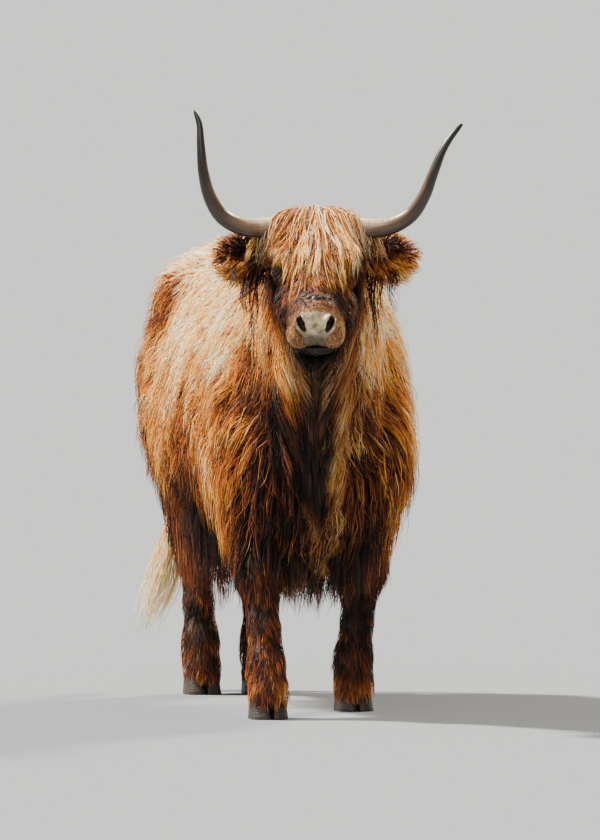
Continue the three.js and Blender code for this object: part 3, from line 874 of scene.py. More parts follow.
def lock_mesh(name, paths, facings, width, tone, dun, place):
    """
    One mesh of closed three-sided hairs, drawn to a point at the tip. tone has one value for each
    point of each path, dun and place have one for each path.
    """
    count, rows = paths.shape[:2]
    share = np.linspace(0, 1, rows)
    heading = unit(np.gradient(paths, axis=1))
    across = unit(np.cross(heading, facings))
    upward = np.cross(across, heading)
    profile = np.minimum(1, 0.55 + 2.2 * share) * (1 - share**2.2) ** 0.8
    half = (width[:, None] * profile / 2)[:, :-1, None]
    body = paths[:, :-1]
    rings = np.stack(
        [
            body - across[:, :-1] * half,
            body + across[:, :-1] * half,
            body + upward[:, :-1] * half * 2 * HAIR_FLATNESS,
        ],
        2,
    )
    points = np.concatenate([rings.reshape(count, -1, 3), paths[:, -1:]], 1)
    per_hair = points.shape[1]
    quads, tip = [], per_hair - 1
    for row in range(rows - 2):
        for c in range(3):
            a, b = row * 3 + c, row * 3 + (c + 1) % 3
            quads.append((a, b, b + 3, a + 3))
    last = (rows - 2) * 3
    triangles = [(0, 2, 1)] + [(last + c, last + (c + 1) % 3, tip) for c in range(3)]
    offset = (np.arange(count) * per_hair)[:, None, None]
    quad_faces = (np.array(quads)[None] + offset).reshape(-1, 4)
    tri_faces = (np.array(triangles)[None] + offset).reshape(-1, 3)
    mesh = make_mesh(name, points.reshape(-1, 3), [quad_faces, tri_faces])
    values = np.concatenate([np.repeat(tone[:, :-1], 3, axis=1), tone[:, -1:]], 1)
    store(mesh, "tone", values)
    store(mesh, "dun", np.repeat(dun, per_hair))
    corner = np.concatenate([np.tile([0.0, 0.5, 1.0], rows - 1), [0.5]])
    level = np.concatenate([np.repeat(share[:-1], 3), [1.0]])
    patch = np.stack([corner, level], 1) * PATCH
    uv = (place[:, None] + patch[None]).reshape(-1, 2)
    loops = np.concatenate([quad_faces.ravel(), tri_faces.ravel()])
    layer = mesh.uv_layers.new(name="OFBake")
    layer.data.foreach_set("uv", uv[loops].astype(np.float32).ravel())
    return mesh


SPREAD = 0.085  # how far the tone of one lock or hair usually is from the next
ROOT_SHADE = 0.28  # how much darker a hair is at its root


def tones_along(tone, rows, lock, tip_gain, seed, spread=SPREAD):
    """Tone at each point of each hair: varied by lock and by hair, and paler towards the tip."""
    dice = np.random.default_rng(seed)
    by_lock = dice.normal(0, spread, lock.max() + 1)[lock]
    by_hair = dice.normal(0, spread * 0.9, len(lock))
    share = np.linspace(0, 1, rows)
    base = (tone + by_lock + by_hair)[:, None]
    return np.clip(base - ROOT_SHADE * (1 - share) ** 1.5 + tip_gain[:, None] * share**1.5, 0, 1)


PIECE_TRIANGLES = 195_000  # at most, in one piece of the coat


def coat(name, paths, facings, width, tone, shares):
    """Adds hairs as joined pieces, each under the limit. shares are those of their roots."""
    place = unwrap(paths[:, 0], shares)
    dun = dunness(paths[:, 0], shares)
    triangles_per_hair = 6 * (paths.shape[1] - 2) + 4
    size = PIECE_TRIANGLES // triangles_per_hair
    for n, start in enumerate(range(0, len(paths), size)):
        part = slice(start, start + size)
        hairs = [values[part] for values in (paths, facings, width, tone, dun, place)]
        mesh = lock_mesh(f"{name}_{n + 1}", *hairs)
        make_piece(mesh.name, mesh, coat_material)


# ------------------------------------------------------------------ materials
def new_node(tree, kind, place=(0, 0), **settings):
    """A shader node. place only sets where it lies in the node editor."""
    node = tree.nodes.new(kind)
    node.location = place
    for key, value in settings.items():
        setattr(node, key, value)
    return node


def ramped(tree, level, stops, place=(-300, 0)):
    """The colour that a level picks from stops: (level, colour)."""
    node = new_node(tree, "ShaderNodeValToRGB", place)
    elements = node.color_ramp.elements
    while len(elements) > 1:
        elements.remove(elements[-1])
    elements[0].position, elements[0].color = stops[0][0], (*stops[0][1], 1)
    for position, colour in stops[1:]:
        elements.new(position).color = (*colour, 1)
    tree.links.new(level, node.inputs["Fac"])
    return node.outputs["Color"]


def add_bump(tree, shader, height, strength, depth, place=(-200, -400)):
    """Raises the surface by height, at most depth metres."""
    bump = new_node(tree, "ShaderNodeBump", place)
    bump.inputs["Strength"].default_value = strength
    bump.inputs["Distance"].default_value = depth
    tree.links.new(height, bump.inputs["Height"])
    tree.links.new(bump.outputs["Normal"], shader.inputs["Normal"])


def new_group(name, inputs, outputs):
    """An empty shader node group with its sockets: {name: (kind, default)} and {name: kind}."""
    group = bpy.data.node_groups.new(name, "ShaderNodeTree")
    for label, (kind, value) in inputs.items():
        socket = group.interface.new_socket(label, in_out="INPUT", socket_type=kind)
        socket.default_value = value
    for label, kind in outputs.items():
        group.interface.new_socket(label, in_out="OUTPUT", socket_type=kind)
    start = new_node(group, "NodeGroupInput", (-800, 0))
    end = new_node(group, "NodeGroupOutput", (600, 0))
    return group, start, end


def noise(tree, vector, scale, detail=3.0, roughness=0.55, place=(0, 0)):
    """Mottle from 0 to 1 at the places that vector gives."""
    node = new_node(tree, "ShaderNodeTexNoise", place)
    node.inputs["Scale"].default_value = scale
    node.inputs["Detail"].default_value = detail
    node.inputs["Roughness"].default_value = roughness
    tree.links.new(vector, node.inputs["Vector"])
    return node.outputs["Fac"]


def mathed(tree, operation, a, b=None, c=None, place=(0, 0), clamp=False):
    """The result of an operation on sockets or numbers."""
    node = new_node(tree, "ShaderNodeMath", place, operation=operation, use_clamp=clamp)
    for socket, value in zip(node.inputs, (a, b, c)):
        if value is None:
            continue
        if isinstance(value, (int, float)):
            socket.default_value = value
        else:
            tree.links.new(value, socket)
    return node.outputs[0]


def mixed_colour(tree, share, a, b, place=(0, 0)):
    """Colour a, taken towards colour b by a share."""
    node = new_node(tree, "ShaderNodeMix", place, data_type="RGBA")
    for socket, value in ((node.inputs[0], share), (node.inputs[6], a), (node.inputs[7], b)):
        if isinstance(value, (tuple, float, int)):
            socket.default_value = value
        else:
            tree.links.new(value, socket)
    return node.outputs[2]


COAT_TONES = [
    (0.0, (0.007, 0.0045, 0.004)),
    (0.16, (0.034, 0.013, 0.007)),
    (0.32, (0.14, 0.034, 0.010)),
    (0.46, (0.38, 0.094, 0.018)),
    (0.6, (0.70, 0.24, 0.035)),
    (0.74, (0.94, 0.45, 0.055)),
    (0.87, (0.99, 0.67, 0.16)),
    (1.0, (1.0, 0.92, 0.71)),
]
DUN_TONES = [
    (0.0, (0.006, 0.005, 0.004)),
    (0.2, (0.03, 0.021, 0.012)),
    (0.4, (0.115, 0.078, 0.04)),
    (0.6, (0.34, 0.225, 0.115)),
    (0.8, (0.62, 0.45, 0.25)),
    (1.0, (0.85, 0.72, 0.5)),
]
NOSE_PAD_TONES = [
    (0.34, (0.2, 0.15, 0.08)),
    (0.46, (0.46, 0.35, 0.2)),
    (0.62, (0.7, 0.55, 0.35)),
]
HORN_TONES = [
    (0.06, (0.012, 0.009, 0.007)),
    (0.22, (0.055, 0.033, 0.02)),
    (0.4, (0.18, 0.108, 0.062)),
    (0.6, (0.42, 0.29, 0.17)),
    (0.9, (0.78, 0.65, 0.45)),
]
HOOF_TONES = [
    (0.3, (0.011, 0.009, 0.007)),
    (0.55, (0.036, 0.026, 0.018)),
    (0.8, (0.11, 0.08, 0.055)),
]
EYE_TONES = [  # white of the eye, then the iris from its edge inwards, then the pupil
    (0.0, (0.10, 0.075, 0.06)),
    (0.3, (0.05, 0.03, 0.02)),
    (0.4, (0.05, 0.022, 0.01)),
    (0.74, (0.07, 0.03, 0.012)),
    (0.8, (0.003, 0.003, 0.004)),
]


def coat_colour_group():
    """Turns a tone into the colours of the coat, with a little mottle, and mixes them with dun."""
    group, start, end = new_group(
        "coat_colour",
        {"Tone": ("NodeSocketFloat", 0.5), "Dun": ("NodeSocketFloat", 0.0)},
        {"Color": "NodeSocketColor"},
    )
    spot = new_node(group, "ShaderNodeTexCoord", (-800, -200)).outputs["Object"]
    mottle = mathed(group, "MULTIPLY_ADD", noise(group, spot, 90.0, place=(-500, -200)), 0.12, -0.06)
    tone = mathed(group, "ADD", start.outputs["Tone"], mottle, place=(-200, 0), clamp=True)
    coat_tone = ramped(group, tone, COAT_TONES, (0, 0))
    dun_tone = ramped(group, tone, DUN_TONES, (0, -300))
    mixed = mixed_colour(group, start.outputs["Dun"], coat_tone, dun_tone, (300, 0))
    group.links.new(mixed, end.inputs["Color"])
    return group


def keratin_group():
    """Streaks and growth rings of horn and hoof, from the position along and round the piece."""
    group, start, end = new_group(
        "keratin",
        {
            "Along": ("NodeSocketFloat", 0.0),
            "Grain": ("NodeSocketVector", (0, 0, 0)),
            "Rings": ("NodeSocketFloat", 40.0),
        },
        {"Streak": "NodeSocketFloat", "Ring": "NodeSocketFloat"},
    )
    streak = noise(group, start.outputs["Grain"], 2.4, 5.0, 0.6, (-400, 0))
    turns = mathed(group, "MULTIPLY", start.outputs["Along"], start.outputs["Rings"])
    bend = mathed(group, "MULTIPLY_ADD", streak, 0.9, turns)
    ring = mathed(group, "MULTIPLY_ADD", mathed(group, "SINE", bend), 0.5, 0.5)
    group.links.new(streak, end.inputs["Streak"])
    group.links.new(ring, end.inputs["Ring"])
    return group


def new_material(name, roughness, **constants):
    material = bpy.data.materials.new(name)
    material.use_nodes = True
    tree = material.node_tree
    shader = tree.nodes["Principled BSDF"]
    shader.inputs["Roughness"].default_value = roughness
    for label, value in constants.items():
        shader.inputs[label.replace("_", " ")].default_value = value
    return material, tree, shader


def group_node(tree, group, place=(-400, 0)):
    return new_node(tree, "ShaderNodeGroup", place, node_tree=group)


def attribute(tree, name, output="Fac", place=(-900, 0)):
    """What store() kept on the mesh under this name."""
    return new_node(tree, "ShaderNodeAttribute", place, attribute_name=name).outputs[output]


coat_colour = coat_colour_group()
keratin = keratin_group()


def keratin_node(tree, rings):
    """The streaks and growth rings, read from the places stored on the piece."""
    streaks = group_node(tree, keratin, (-700, 0))
    streaks.inputs["Rings"].default_value = rings
    tree.links.new(attribute(tree, "along", place=(-1000, 0)), streaks.inputs["Along"])
    tree.links.new(attribute(tree, "grain", "Vector", (-1000, -200)), streaks.inputs["Grain"])
    return streaks


def make_coat_material():
    material, tree, shader = new_material("coat", 0.62, Specular_IOR_Level=0.22)
    colours = group_node(tree, coat_colour)
    tree.links.new(attribute(tree, "tone"), colours.inputs["Tone"])
    tree.links.new(attribute(tree, "dun", place=(-900, -100)), colours.inputs["Dun"])
    tree.links.new(colours.outputs["Color"], shader.inputs["Base Color"])
    return material


def make_hide_material():
    """Hide under the coat, and the bare nose, lips, lids and nostrils."""
    material, tree, shader = new_material("hide", 0.6, Specular_IOR_Level=0.4)
    spot = new_node(tree, "ShaderNodeTexCoord", (-1300, -300)).outputs["Object"]
    colours = group_node(tree, coat_colour)
    nap = noise(tree, spot, 520.0, 2.0, 0.6, (-1500, 100))
    tone = mathed(tree, "MULTIPLY_ADD", nap, 0.7, attribute(tree, "tone"), (-700, 100))
    tone = mathed(tree, "SUBTRACT", tone, 0.37, place=(-550, 100), clamp=True)
    tree.links.new(tone, colours.inputs["Tone"])
    tree.links.new(attribute(tree, "dun", place=(-900, -100)), colours.inputs["Dun"])
    bare = attribute(tree, "bare", place=(-900, -200))
    dark = attribute(tree, "shade", place=(-900, -400))
    blotch = noise(tree, spot, 60.0, 4.0, 0.6, (-1100, -300))
    speckle = noise(tree, spot, 420.0, 2.0, 0.5, (-1100, -500))
    pad = ramped(tree, blotch, NOSE_PAD_TONES, (-700, -300))
    spots = mathed(tree, "MULTIPLY_ADD", speckle, 9.0, -5.6, place=(-700, -550), clamp=True)
    spots = mathed(tree, "MULTIPLY", spots, 0.7, place=(-550, -550))
    skin = mixed_colour(tree, spots, pad, (0.035, 0.028, 0.02, 1), (-400, -300))
    # The shade attribute darkens bare skin: painted shade in the nostrils, between the lips and low on the
    # nose pad, and the own dark colour of the lids and of the fold's knobs.
    skin = mixed_colour(tree, dark, skin, (0.012, 0.009, 0.007, 1), (-250, -300))
    whole = mixed_colour(tree, bare, colours.outputs["Color"], skin, (-100, 0))
    tree.links.new(whole, shader.inputs["Base Color"])
    moist = mathed(tree, "MULTIPLY_ADD", bare, -0.24, 0.62, place=(-100, -200))
    tree.links.new(moist, shader.inputs["Roughness"])
    cells = new_node(tree, "ShaderNodeTexVoronoi", (-700, -800), feature="SMOOTH_F1")
    cells.inputs["Scale"].default_value = 230.0
    tree.links.new(spot, cells.inputs["Vector"])
    height = new_node(tree, "ShaderNodeMix", (-500, -800))
    tree.links.new(bare, height.inputs[0])
    tree.links.new(nap, height.inputs[2])
    tree.links.new(cells.outputs["Distance"], height.inputs[3])
    add_bump(tree, shader, height.outputs[0], 0.55, 0.0016, (-250, -800))
    return material


def make_horn_material():
    material, tree, shader = new_material("horn", 0.34, Specular_IOR_Level=0.5)
    streaks = keratin_node(tree, 150.0)
    # pale holds the horn's own paler root and dark tip, with painted highlights on its upper and inner
    # sides.
    pale = attribute(tree, "pale", place=(-1000, -400))
    level = mathed(tree, "MULTIPLY_ADD", streaks.outputs["Streak"], 0.5, pale)
    tree.links.new(ramped(tree, level, HORN_TONES), shader.inputs["Base Color"])
    ridged = attribute(tree, "ridged", place=(-1000, -600))
    rings = mathed(tree, "MULTIPLY", streaks.outputs["Ring"], ridged)
    add_bump(tree, shader, rings, 0.3, 0.0009)
    return material


def make_hoof_material():
    material, tree, shader = new_material("hoof", 0.5, Specular_IOR_Level=0.4)
    streaks = keratin_node(tree, 60.0)
    colour = ramped(tree, streaks.outputs["Streak"], HOOF_TONES)
    tree.links.new(colour, shader.inputs["Base Color"])
    add_bump(tree, shader, streaks.outputs["Ring"], 0.25, 0.0008)
    return material


def make_eye_material():
    material, tree, shader = new_material(
        "eye", 0.1, Specular_IOR_Level=0.3, Coat_Weight=0.4, Coat_Roughness=0.02
    )
    colour = ramped(tree, attribute(tree, "gaze"), EYE_TONES)
    tree.links.new(colour, shader.inputs["Base Color"])
    return material


coat_material = make_coat_material()
hide_material = make_hide_material()
horn_material = make_horn_material()
hoof_material = make_hoof_material()
eye_material = make_eye_material()


# ------------------------------------------------------------------ the skin piece
def bare_mask(points):
    """1 on the nose pad and the lips, 0 on haired skin."""
    side, along, off = head_coordinates(points).T
    rise = above_mouth(along, off)
    half = 22 + 20 * ramp(off, -66, -40) - 4 * ramp(off, -16, 0)
    pad = ramp(along, 386, 400) * (1 - ramp(np.abs(side), half, half + 9)) * ramp(rise, 2, 8)
    pad *= 1 - ramp(off - (along - 400) * 0.5, -8, 0)
    mouth = ramp(rise, -5, -2) * (1 - ramp(rise, 2, 6)) * ramp(along, 330, 350)
    return np.clip(pad + mouth + fold_mask(side, along, off), 0, 1)


def fold_mask(side, along, off):
    """1 on the dark bare knobs of the fold over the nose."""
    gaps = [np.hypot(side - x, along - y) - 1.1 * r for x, y, r in KNOBS]
    return (1 - ramp(np.min(gaps, axis=0), -1, 3)) * ramp(off, -12, -8)


def eye_gap(points):
    """Millimetres to the middle of the nearer eye."""
    gaps = [np.linalg.norm(points - eye_centre(side), axis=1) / MM for side in (RIGHT, LEFT)]
    return np.min(gaps, axis=0)


def lid_mask(points):
    """1 on the edges of the lids."""
    return 1 - ramp(eye_gap(points), EYE_RADIUS + 4, EYE_RADIUS + 8)


def shade_mask(points):
    """1 inside the nostrils, between the lips and on the fold over the nose: painted shade in the nostrils,
    along the line between the lips, on the lower nose pad and just under the lip line, with the fold's
    knobs dark in their own colour.
    """
    side, along, off = head_coordinates(points).T
    rise = above_mouth(along, off)
    # Painted shade inside the nostrils.
    tilt = np.abs(side) - 34 - (off + 32) * 0.36
    hole = np.sqrt((tilt / 11) ** 2 + ((along - 406) / 25) ** 2 + ((off + 32) / 25) ** 2)
    # Painted shade along the line between the lips.
    slit = 1.6 * near(rise, 0, 6) * ramp(along, 330, 345)
    # Painted shade on the lower part of the nose pad and just under the line between the lips.
    lower = 0.8 * ramp(-off, 36, 72) * (1 - ramp(np.abs(side), 26, 40))
    lower = lower * ramp(along, 380, 400) + 0.9 * ramp(-rise, 0, 3)
    return np.clip((1 - ramp(hole, 0.75, 1.1)) + slit + lower + 3 * fold_mask(side, along, off), 0, 1)


FLESH = ["trunk", "neck", "head", "forelock", "ear_right", "ear_left", "tail_dock", "tail_switch"]
FLESH += [f"leg_{place}_{side}" for place in ("fore", "hind") for side in ("right", "left")]
SKIN_TRIANGLES = 184_000
SKIN_SHADE = 0.14  # how much darker the skin is than the coat over it


def thinned(mesh, hidden, triangles):
    """The mesh with fewer faces at its hidden points, and the rest as it was."""
    form = bpy.data.objects.new("form", mesh)
    bpy.context.scene.collection.objects.link(form)
    form.vertex_groups.new(name="hidden").add(np.flatnonzero(hidden).tolist(), 1.0, "REPLACE")
    thinning = form.modifiers.new("thinning", "DECIMATE")
    thinning.vertex_group = "hidden"
    thinning.ratio = triangles / (2 * len(mesh.polygons))
    seen = form.evaluated_get(bpy.context.evaluated_depsgraph_get())
    result = bpy.data.meshes.new_from_object(seen)
    bpy.data.objects.remove(form)
    bpy.data.meshes.remove(mesh)
    return result


def add_skin():
    """The skin, at its full fineness on the face and thinned where the coat hides it."""
    along = head_coordinates(skin_points)[:, 1]
    face = share_of(part_shares(skin_points), "head") * ramp(along, 70, 130)
    mesh = thinned(make_mesh("skin_form", skin_points, [skin_quads]), face < 0.5, SKIN_TRIANGLES)
    points = np.empty(3 * len(mesh.vertices), np.float32)
    mesh.vertices.foreach_get("co", points)
    points = points.reshape(-1, 3).astype(float)
    shares = part_shares(points)
    facing = outward(field, points)
    lids = lid_mask(points)
    store(mesh, "tone", np.clip(markings_and_painted_light(points, facing, shares) - SKIN_SHADE, 0, 1))
    store(mesh, "dun", dunness(points, shares))
    store(mesh, "bare", np.clip(bare_mask(points) + lids, 0, 1))
    store(mesh, "shade", np.clip(shade_mask(points) + 5 * lids, 0, 1))
    make_piece("skin", mesh, hide_material, FLESH)


add_skin()


# ------------------------------------------------------------------ the coat
def drawn(low, high, count):
    """Random values between low and high."""
    return random.uniform(low, high, count)


def strays(count, share):
    """1 for a few hairs picked at random, 0 for the others."""
    return (random.random(count) < share).astype(float)


FLOOR_CLEARANCE = 0.003  # metres, for hairs that would reach the floor
FLOOR_BEND = 0.01  # metres over which such hairs bend away from it


def lay(
    name, roots, length, depth, lift, width, steps, *, flow=None, hug=0.8, hang=1.0, size=22,
    pull=0.75, per_lock=7, sway=(3, 8), turns=1.5, shape=None, tone=0, tip=(0.02, 0.2),
    spread=SPREAD,
):
    """
    Grows, gathers, waves and adds one set of hairs. length, depth and width are in millimetres,
    and so are size, which is that of a lock, and sway, which is the least and most width of the
    waves. tone is added to the markings, and tip is the least and most gain of tone at the tip.
    """
    count = len(roots)
    seed = sum(map(ord, name))
    shares = part_shares(roots)
    paths, facings = grow(roots, shares, length * MM, depth * MM, lift, hug, steps, flow, hang)
    paths, lock = gather(paths, size * MM, pull, seed, per_lock)
    paths = wave(paths, facings, lock, drawn(*sway, count) * MM, turns, seed + 1)
    if shape is not None:
        paths = shape(paths)
    high = paths[:, :, 2]
    floor = FLOOR_CLEARANCE + FLOOR_BEND * np.exp(-high / FLOOR_BEND)
    paths[:, :, 2] = np.maximum(high, floor)
    # This tone holds painted highlights and painted shade as well as the coat's own colours.
    base = markings_and_painted_light(roots, outward(field, roots), shares) + tone
    tones = tones_along(base, steps + 1, lock, drawn(*tip, count), seed + 2, spread)
    coat(name, paths, facings, width * MM, tones, shares)


def body_coat():
    """The long hair of the trunk and neck."""

    def density(points, facing, shares):
        under = ramp(-facing[:, 2], 0.5, 0.95)
        return 11200 * share_of(shares, "trunk", "neck") * (1 - 0.5 * under)

    roots = skin_roots(density)
    count = len(roots)
    _, y, z = (roots - FEET).T
    low = 1 - ramp(z, 0.45, 0.8)
    front = 1 - ramp(y, -0.2, 0.05)
    odd = strays(count, 0.18)
    length = (112 + 36 * low + 24 * front * (1 - ramp(z, 0.7, 1.0))) * drawn(0.6, 1.25, count)
    depth = (12 + 27 * random.random(count) ** 1.3 + 22 * odd) * (1 + 0.2 * low)
    lift = drawn(0.1, 0.46, count) + 0.34 * odd
    width = drawn(2.5, 4.7, count) * (1 - 0.3 * odd)
    lay(
        "coat_body", roots, length, depth, lift, width, 4, size=28, sway=(4, 13), turns=1.1,
        tip=(0.03, 0.28), spread=0.12,
    )


def skirt():
    """The longest hair, hanging from the thighs, the lower flanks, the belly and the brisket."""

    def density(points, facing, shares):
        z = points[:, 2]
        place = (1 - ramp(z, 0.46, 0.6)) * share_of(shares, "trunk", "neck")
        forearm = ramp(z, 0.42, 0.5) * (1 - ramp(z, 0.56, 0.7)) * share_of(shares, "fore")
        thigh = ramp(z, 0.42, 0.5) * (1 - ramp(z, 0.56, 0.68)) * share_of(shares, "hind", "trunk")
        return 6400 * place + 2400 * forearm + 3600 * thigh * ramp(points[:, 1] - FEET[1], 0.75, 0.95)

    roots = skin_roots(density)
    count = len(roots)
    y, z = roots[:, 1] - FEET[1], roots[:, 2]
    rear = ramp(y, 0.75, 1.0)
    wide = np.abs(roots[:, 0] - FEET[0])
    hem = 0.215 + 0.12 * rear + 0.12 * ramp(wide, 0.1, 0.2) * (1 - ramp(y, 0.2, 0.4))
    hem += 0.03 * wobble(roots, 0.12, 51) + drawn(-0.02, 0.11, count) * (1 + 0.5 * rear)
    length = np.clip((z - hem) / MM, 60, 320)
    down = np.tile(-UP + np.array([0, 0.12, 0]), (count, 1))
    under = ramp(-outward(field, roots)[:, 2], 0.2, 0.8)
    lift = drawn(0.1, 0.4, count) * (1 - 0.5 * rear) + 0.4 * under
    lay(
        "coat_skirt", roots, length, drawn(10, 34, count) * (1 - 0.3 * rear), lift, drawn(2.4, 4.4, count),
        5, flow=lambda p, f: down, hug=0.3 + 0.2 * rear, size=36, pull=0.8, per_lock=10,
        sway=(4, 12), turns=1.0, tone=-0.02 + 0.1 * rear,
    )


def chest_locks():
    """Long wavy locks that hang from the brisket and the throat."""

    def density(points, facing, shares):
        x, y, z = (points - FEET).T
        front = (1 - ramp(y, -0.24, -0.14)) * near(x + 0.026, 0, 0.064) * ramp(z, 0.44, 0.56)
        return 20000 * front * share_of(shares, "trunk", "neck") * (1 - ramp(z, 0.8, 0.92))

    roots = skin_roots(density)
    count = len(roots)
    lay(
        "coat_chest", roots, drawn(130, 250, count), drawn(34, 58, count), drawn(0.2, 0.4, count),
        drawn(2.4, 4.2, count), 9, flow=lambda p, f: np.tile(-UP, (len(p), 1)), size=32, pull=0.9,
        per_lock=18, sway=(10, 19), turns=1.9, tone=0.1 + 0.14 * (1 - ramp(roots[:, 2], 0.5, 0.64)),
        tip=(0.08, 0.34), hug=0.4,
    )


def leg_coat():
    """Shaggy above the knee and hock, shorter below, and spread over the tops of the claws."""

    def density(points, facing, shares):
        z = points[:, 2]
        low = 1 - ramp(z, 0.3, 0.42)
        return (13500 + 5500 * low) * share_of(shares, "fore", "hind") * ramp(z, 0.035, 0.05)

    roots = skin_roots(density)
    count = len(roots)
    z = roots[:, 2]
    upper = ramp(z, 0.26, 0.5)
    foot = 1 - ramp(z, 0.05, 0.13)
    back_of_leg = ramp(outward(field, roots)[:, 1], 0.1, 0.8)
    length = (42 + 72 * upper + 20 * back_of_leg) * drawn(0.65, 1.25, count)
    depth = (5 + 17 * upper + 6 * back_of_leg + 3 * foot) * drawn(0.4, 1.4, count)
    lift = drawn(0.08, 0.34, count) + 0.1 * foot
    width = (2.2 + 1.3 * upper) * drawn(0.7, 1.2, count)
    lay(
        "coat_legs", roots, length, depth, lift, width, 3, size=10, pull=0.5, sway=(1, 3.5), turns=0.8,
    )


def face_coat():
    """Short hair on the muzzle and nose, longer on the cheeks and jaw."""

    def density(points, facing, shares):
        _, along, off = head_coordinates(points).T
        haired = 1 - np.clip(bare_mask(points) + lid_mask(points), 0, 1)
        rise = above_mouth(along, off)
        haired *= 1 - ramp(along, 340, 352) * ramp(rise, -6, -3) * (1 - ramp(rise, 4, 9))
        fine = ramp(along, 300, 370)
        return (23000 + 60000 * fine) * share_of(shares, "head") * haired

    roots = skin_roots(density)
    count = len(roots)
    muzzle = ramp(head_coordinates(roots)[:, 1], 240, 350)
    lids = 1 - ramp(eye_gap(roots), 26, 50)
    length = (32 - 21 * muzzle - 12 * lids) * drawn(0.7, 1.25, count)
    depth = (8 - 6.4 * muzzle - 4 * lids) * drawn(0.4, 1.3, count)
    lift = drawn(0.08, 0.3, count)
    width = (2.5 - 1.1 * muzzle) * drawn(0.8, 1.25, count)
    lay(
        "coat_face", roots, length, depth, lift, width, 3, size=9, pull=0.5, sway=(0.4, 1.6), turns=0.8,
        tip=(0.0, 0.18), spread=0.07,
    )


def cheek_hair():
    """Longer hair that hangs from the cheeks and the sides of the jaw."""

    def density(points, facing, shares):
        side, along, off = head_coordinates(points).T
        place = ramp(-off, 40, 76) * ramp(np.abs(side), 34, 52) * (1 - ramp(along, 262, 320))
        return 15000 * place * share_of(shares, "head") * ramp(eye_gap(points), 34, 50)

    roots = skin_roots(density)
    count = len(roots)
    side, along = head_coordinates(roots).T[:2]
    length = (76 - 30 * ramp(along, 150, 300)) * drawn(0.7, 1.3, count)
    outwards = np.outer(np.sign(side) * 0.35, HEAD_SIDE)
    lay(
        "coat_cheeks", roots, length, drawn(12, 30, count), drawn(0.2, 0.5, count),
        drawn(2.0, 3.4, count), 5, flow=lambda p, f: outwards - UP, hug=0.2, hang=0.7, size=15,
        pull=0.6, sway=(1, 4), turns=0.9, tip=(0.0, 0.2),
    )


def beard():
    """Hair of the jaw and throat that hangs down and comes together to a point."""

    def density(points, facing, shares):
        side, along, off = head_coordinates(points).T
        under = ramp(-off, 92, 116) * ramp(along, 0, 60) * (1 - ramp(along, 388, 404))
        under *= ramp(-above_mouth(along, off), 8, 16)
        return 26000 * under * share_of(shares, "head", "neck") * (1 - ramp(np.abs(side), 70, 92))

    roots = skin_roots(density)
    count = len(roots)
    side, along = head_coordinates(roots).T[:2]
    length = (124 + 86 * near(side, 0, 100)) * drawn(0.7, 1.1, count)
    length *= 1 - 0.6 * ramp(along, 250, 390)

    def draw_in(paths):
        """Draws the tips in towards the middle, and those of the throat forwards."""
        share = np.linspace(0, 1, paths.shape[1])[None, :]
        side = head_coordinates(paths.reshape(-1, 3))[:, 0].reshape(paths.shape[:2])
        ahead = (1 - ramp(along, 60, 220))[:, None] * share * 60 * MM
        inward = paths - HEAD_SIDE * (side * 0.24 * share**2.2)[:, :, None] * MM
        return inward + LEVEL_FORWARD * ahead[:, :, None]

    lay(
        "coat_beard", roots, length, drawn(20, 40, count), drawn(0.3, 0.55, count),
        drawn(2.0, 3.6, count), 5, flow=lambda p, f: np.tile(-UP, (len(p), 1)), hug=0.0,
        size=16, pull=0.6, sway=(1, 4), turns=0.9, shape=draw_in,
        tone=-0.09 + 0.18 * near(np.abs(side), 70, 24), tip=(0.0, 0.14 + 0.26 * near(np.abs(side), 66, 30)),
        spread=0.07,
    )


def beard_edges():
    """Paler strands from the sides of the jaw that come together to a point under the chin."""

    def density(points, facing, shares):
        side, along, off = head_coordinates(points).T
        place = near(along, 318, 70) * near(off, -116, 24) * ramp(np.abs(side), 28, 36)
        return 21000 * place * share_of(shares, "head")

    roots = skin_roots(density)
    count, rows = len(roots), 11
    side = head_coordinates(roots)[:, :1]
    facings = np.repeat(outward(field, roots)[:, None], rows, axis=1)
    share = np.linspace(0, 1, rows)[None]
    bow = drawn(8, 26, (count, 1)) * np.sign(side) * np.sin(math.pi * share)
    inward = bow - side * drawn(0.7, 1.1, (count, 1)) * ramp(share, 0.1, 1.2)
    ahead = drawn(14, 40, (count, 1)) * ramp(share, 0.0, 0.5)
    sag = drawn(100, 200, (count, 1)) * share
    paths = roots[:, None] + inward[:, :, None] * HEAD_SIDE * MM
    paths = paths + (ahead[:, :, None] * LEVEL_FORWARD - sag[:, :, None] * UP) * MM
    paths, lock = gather(paths, 10 * MM, 0.35, 71, 5)
    paths = wave(paths, facings, lock, drawn(2, 6, count) * MM, 1.6, 72)
    tones = tones_along(np.full(count, 0.42), rows, lock, drawn(0.0, 0.3, count), 73)
    coat("coat_beard_edges", paths, facings, drawn(1.5, 2.5, count) * MM, tones, part_shares(roots))


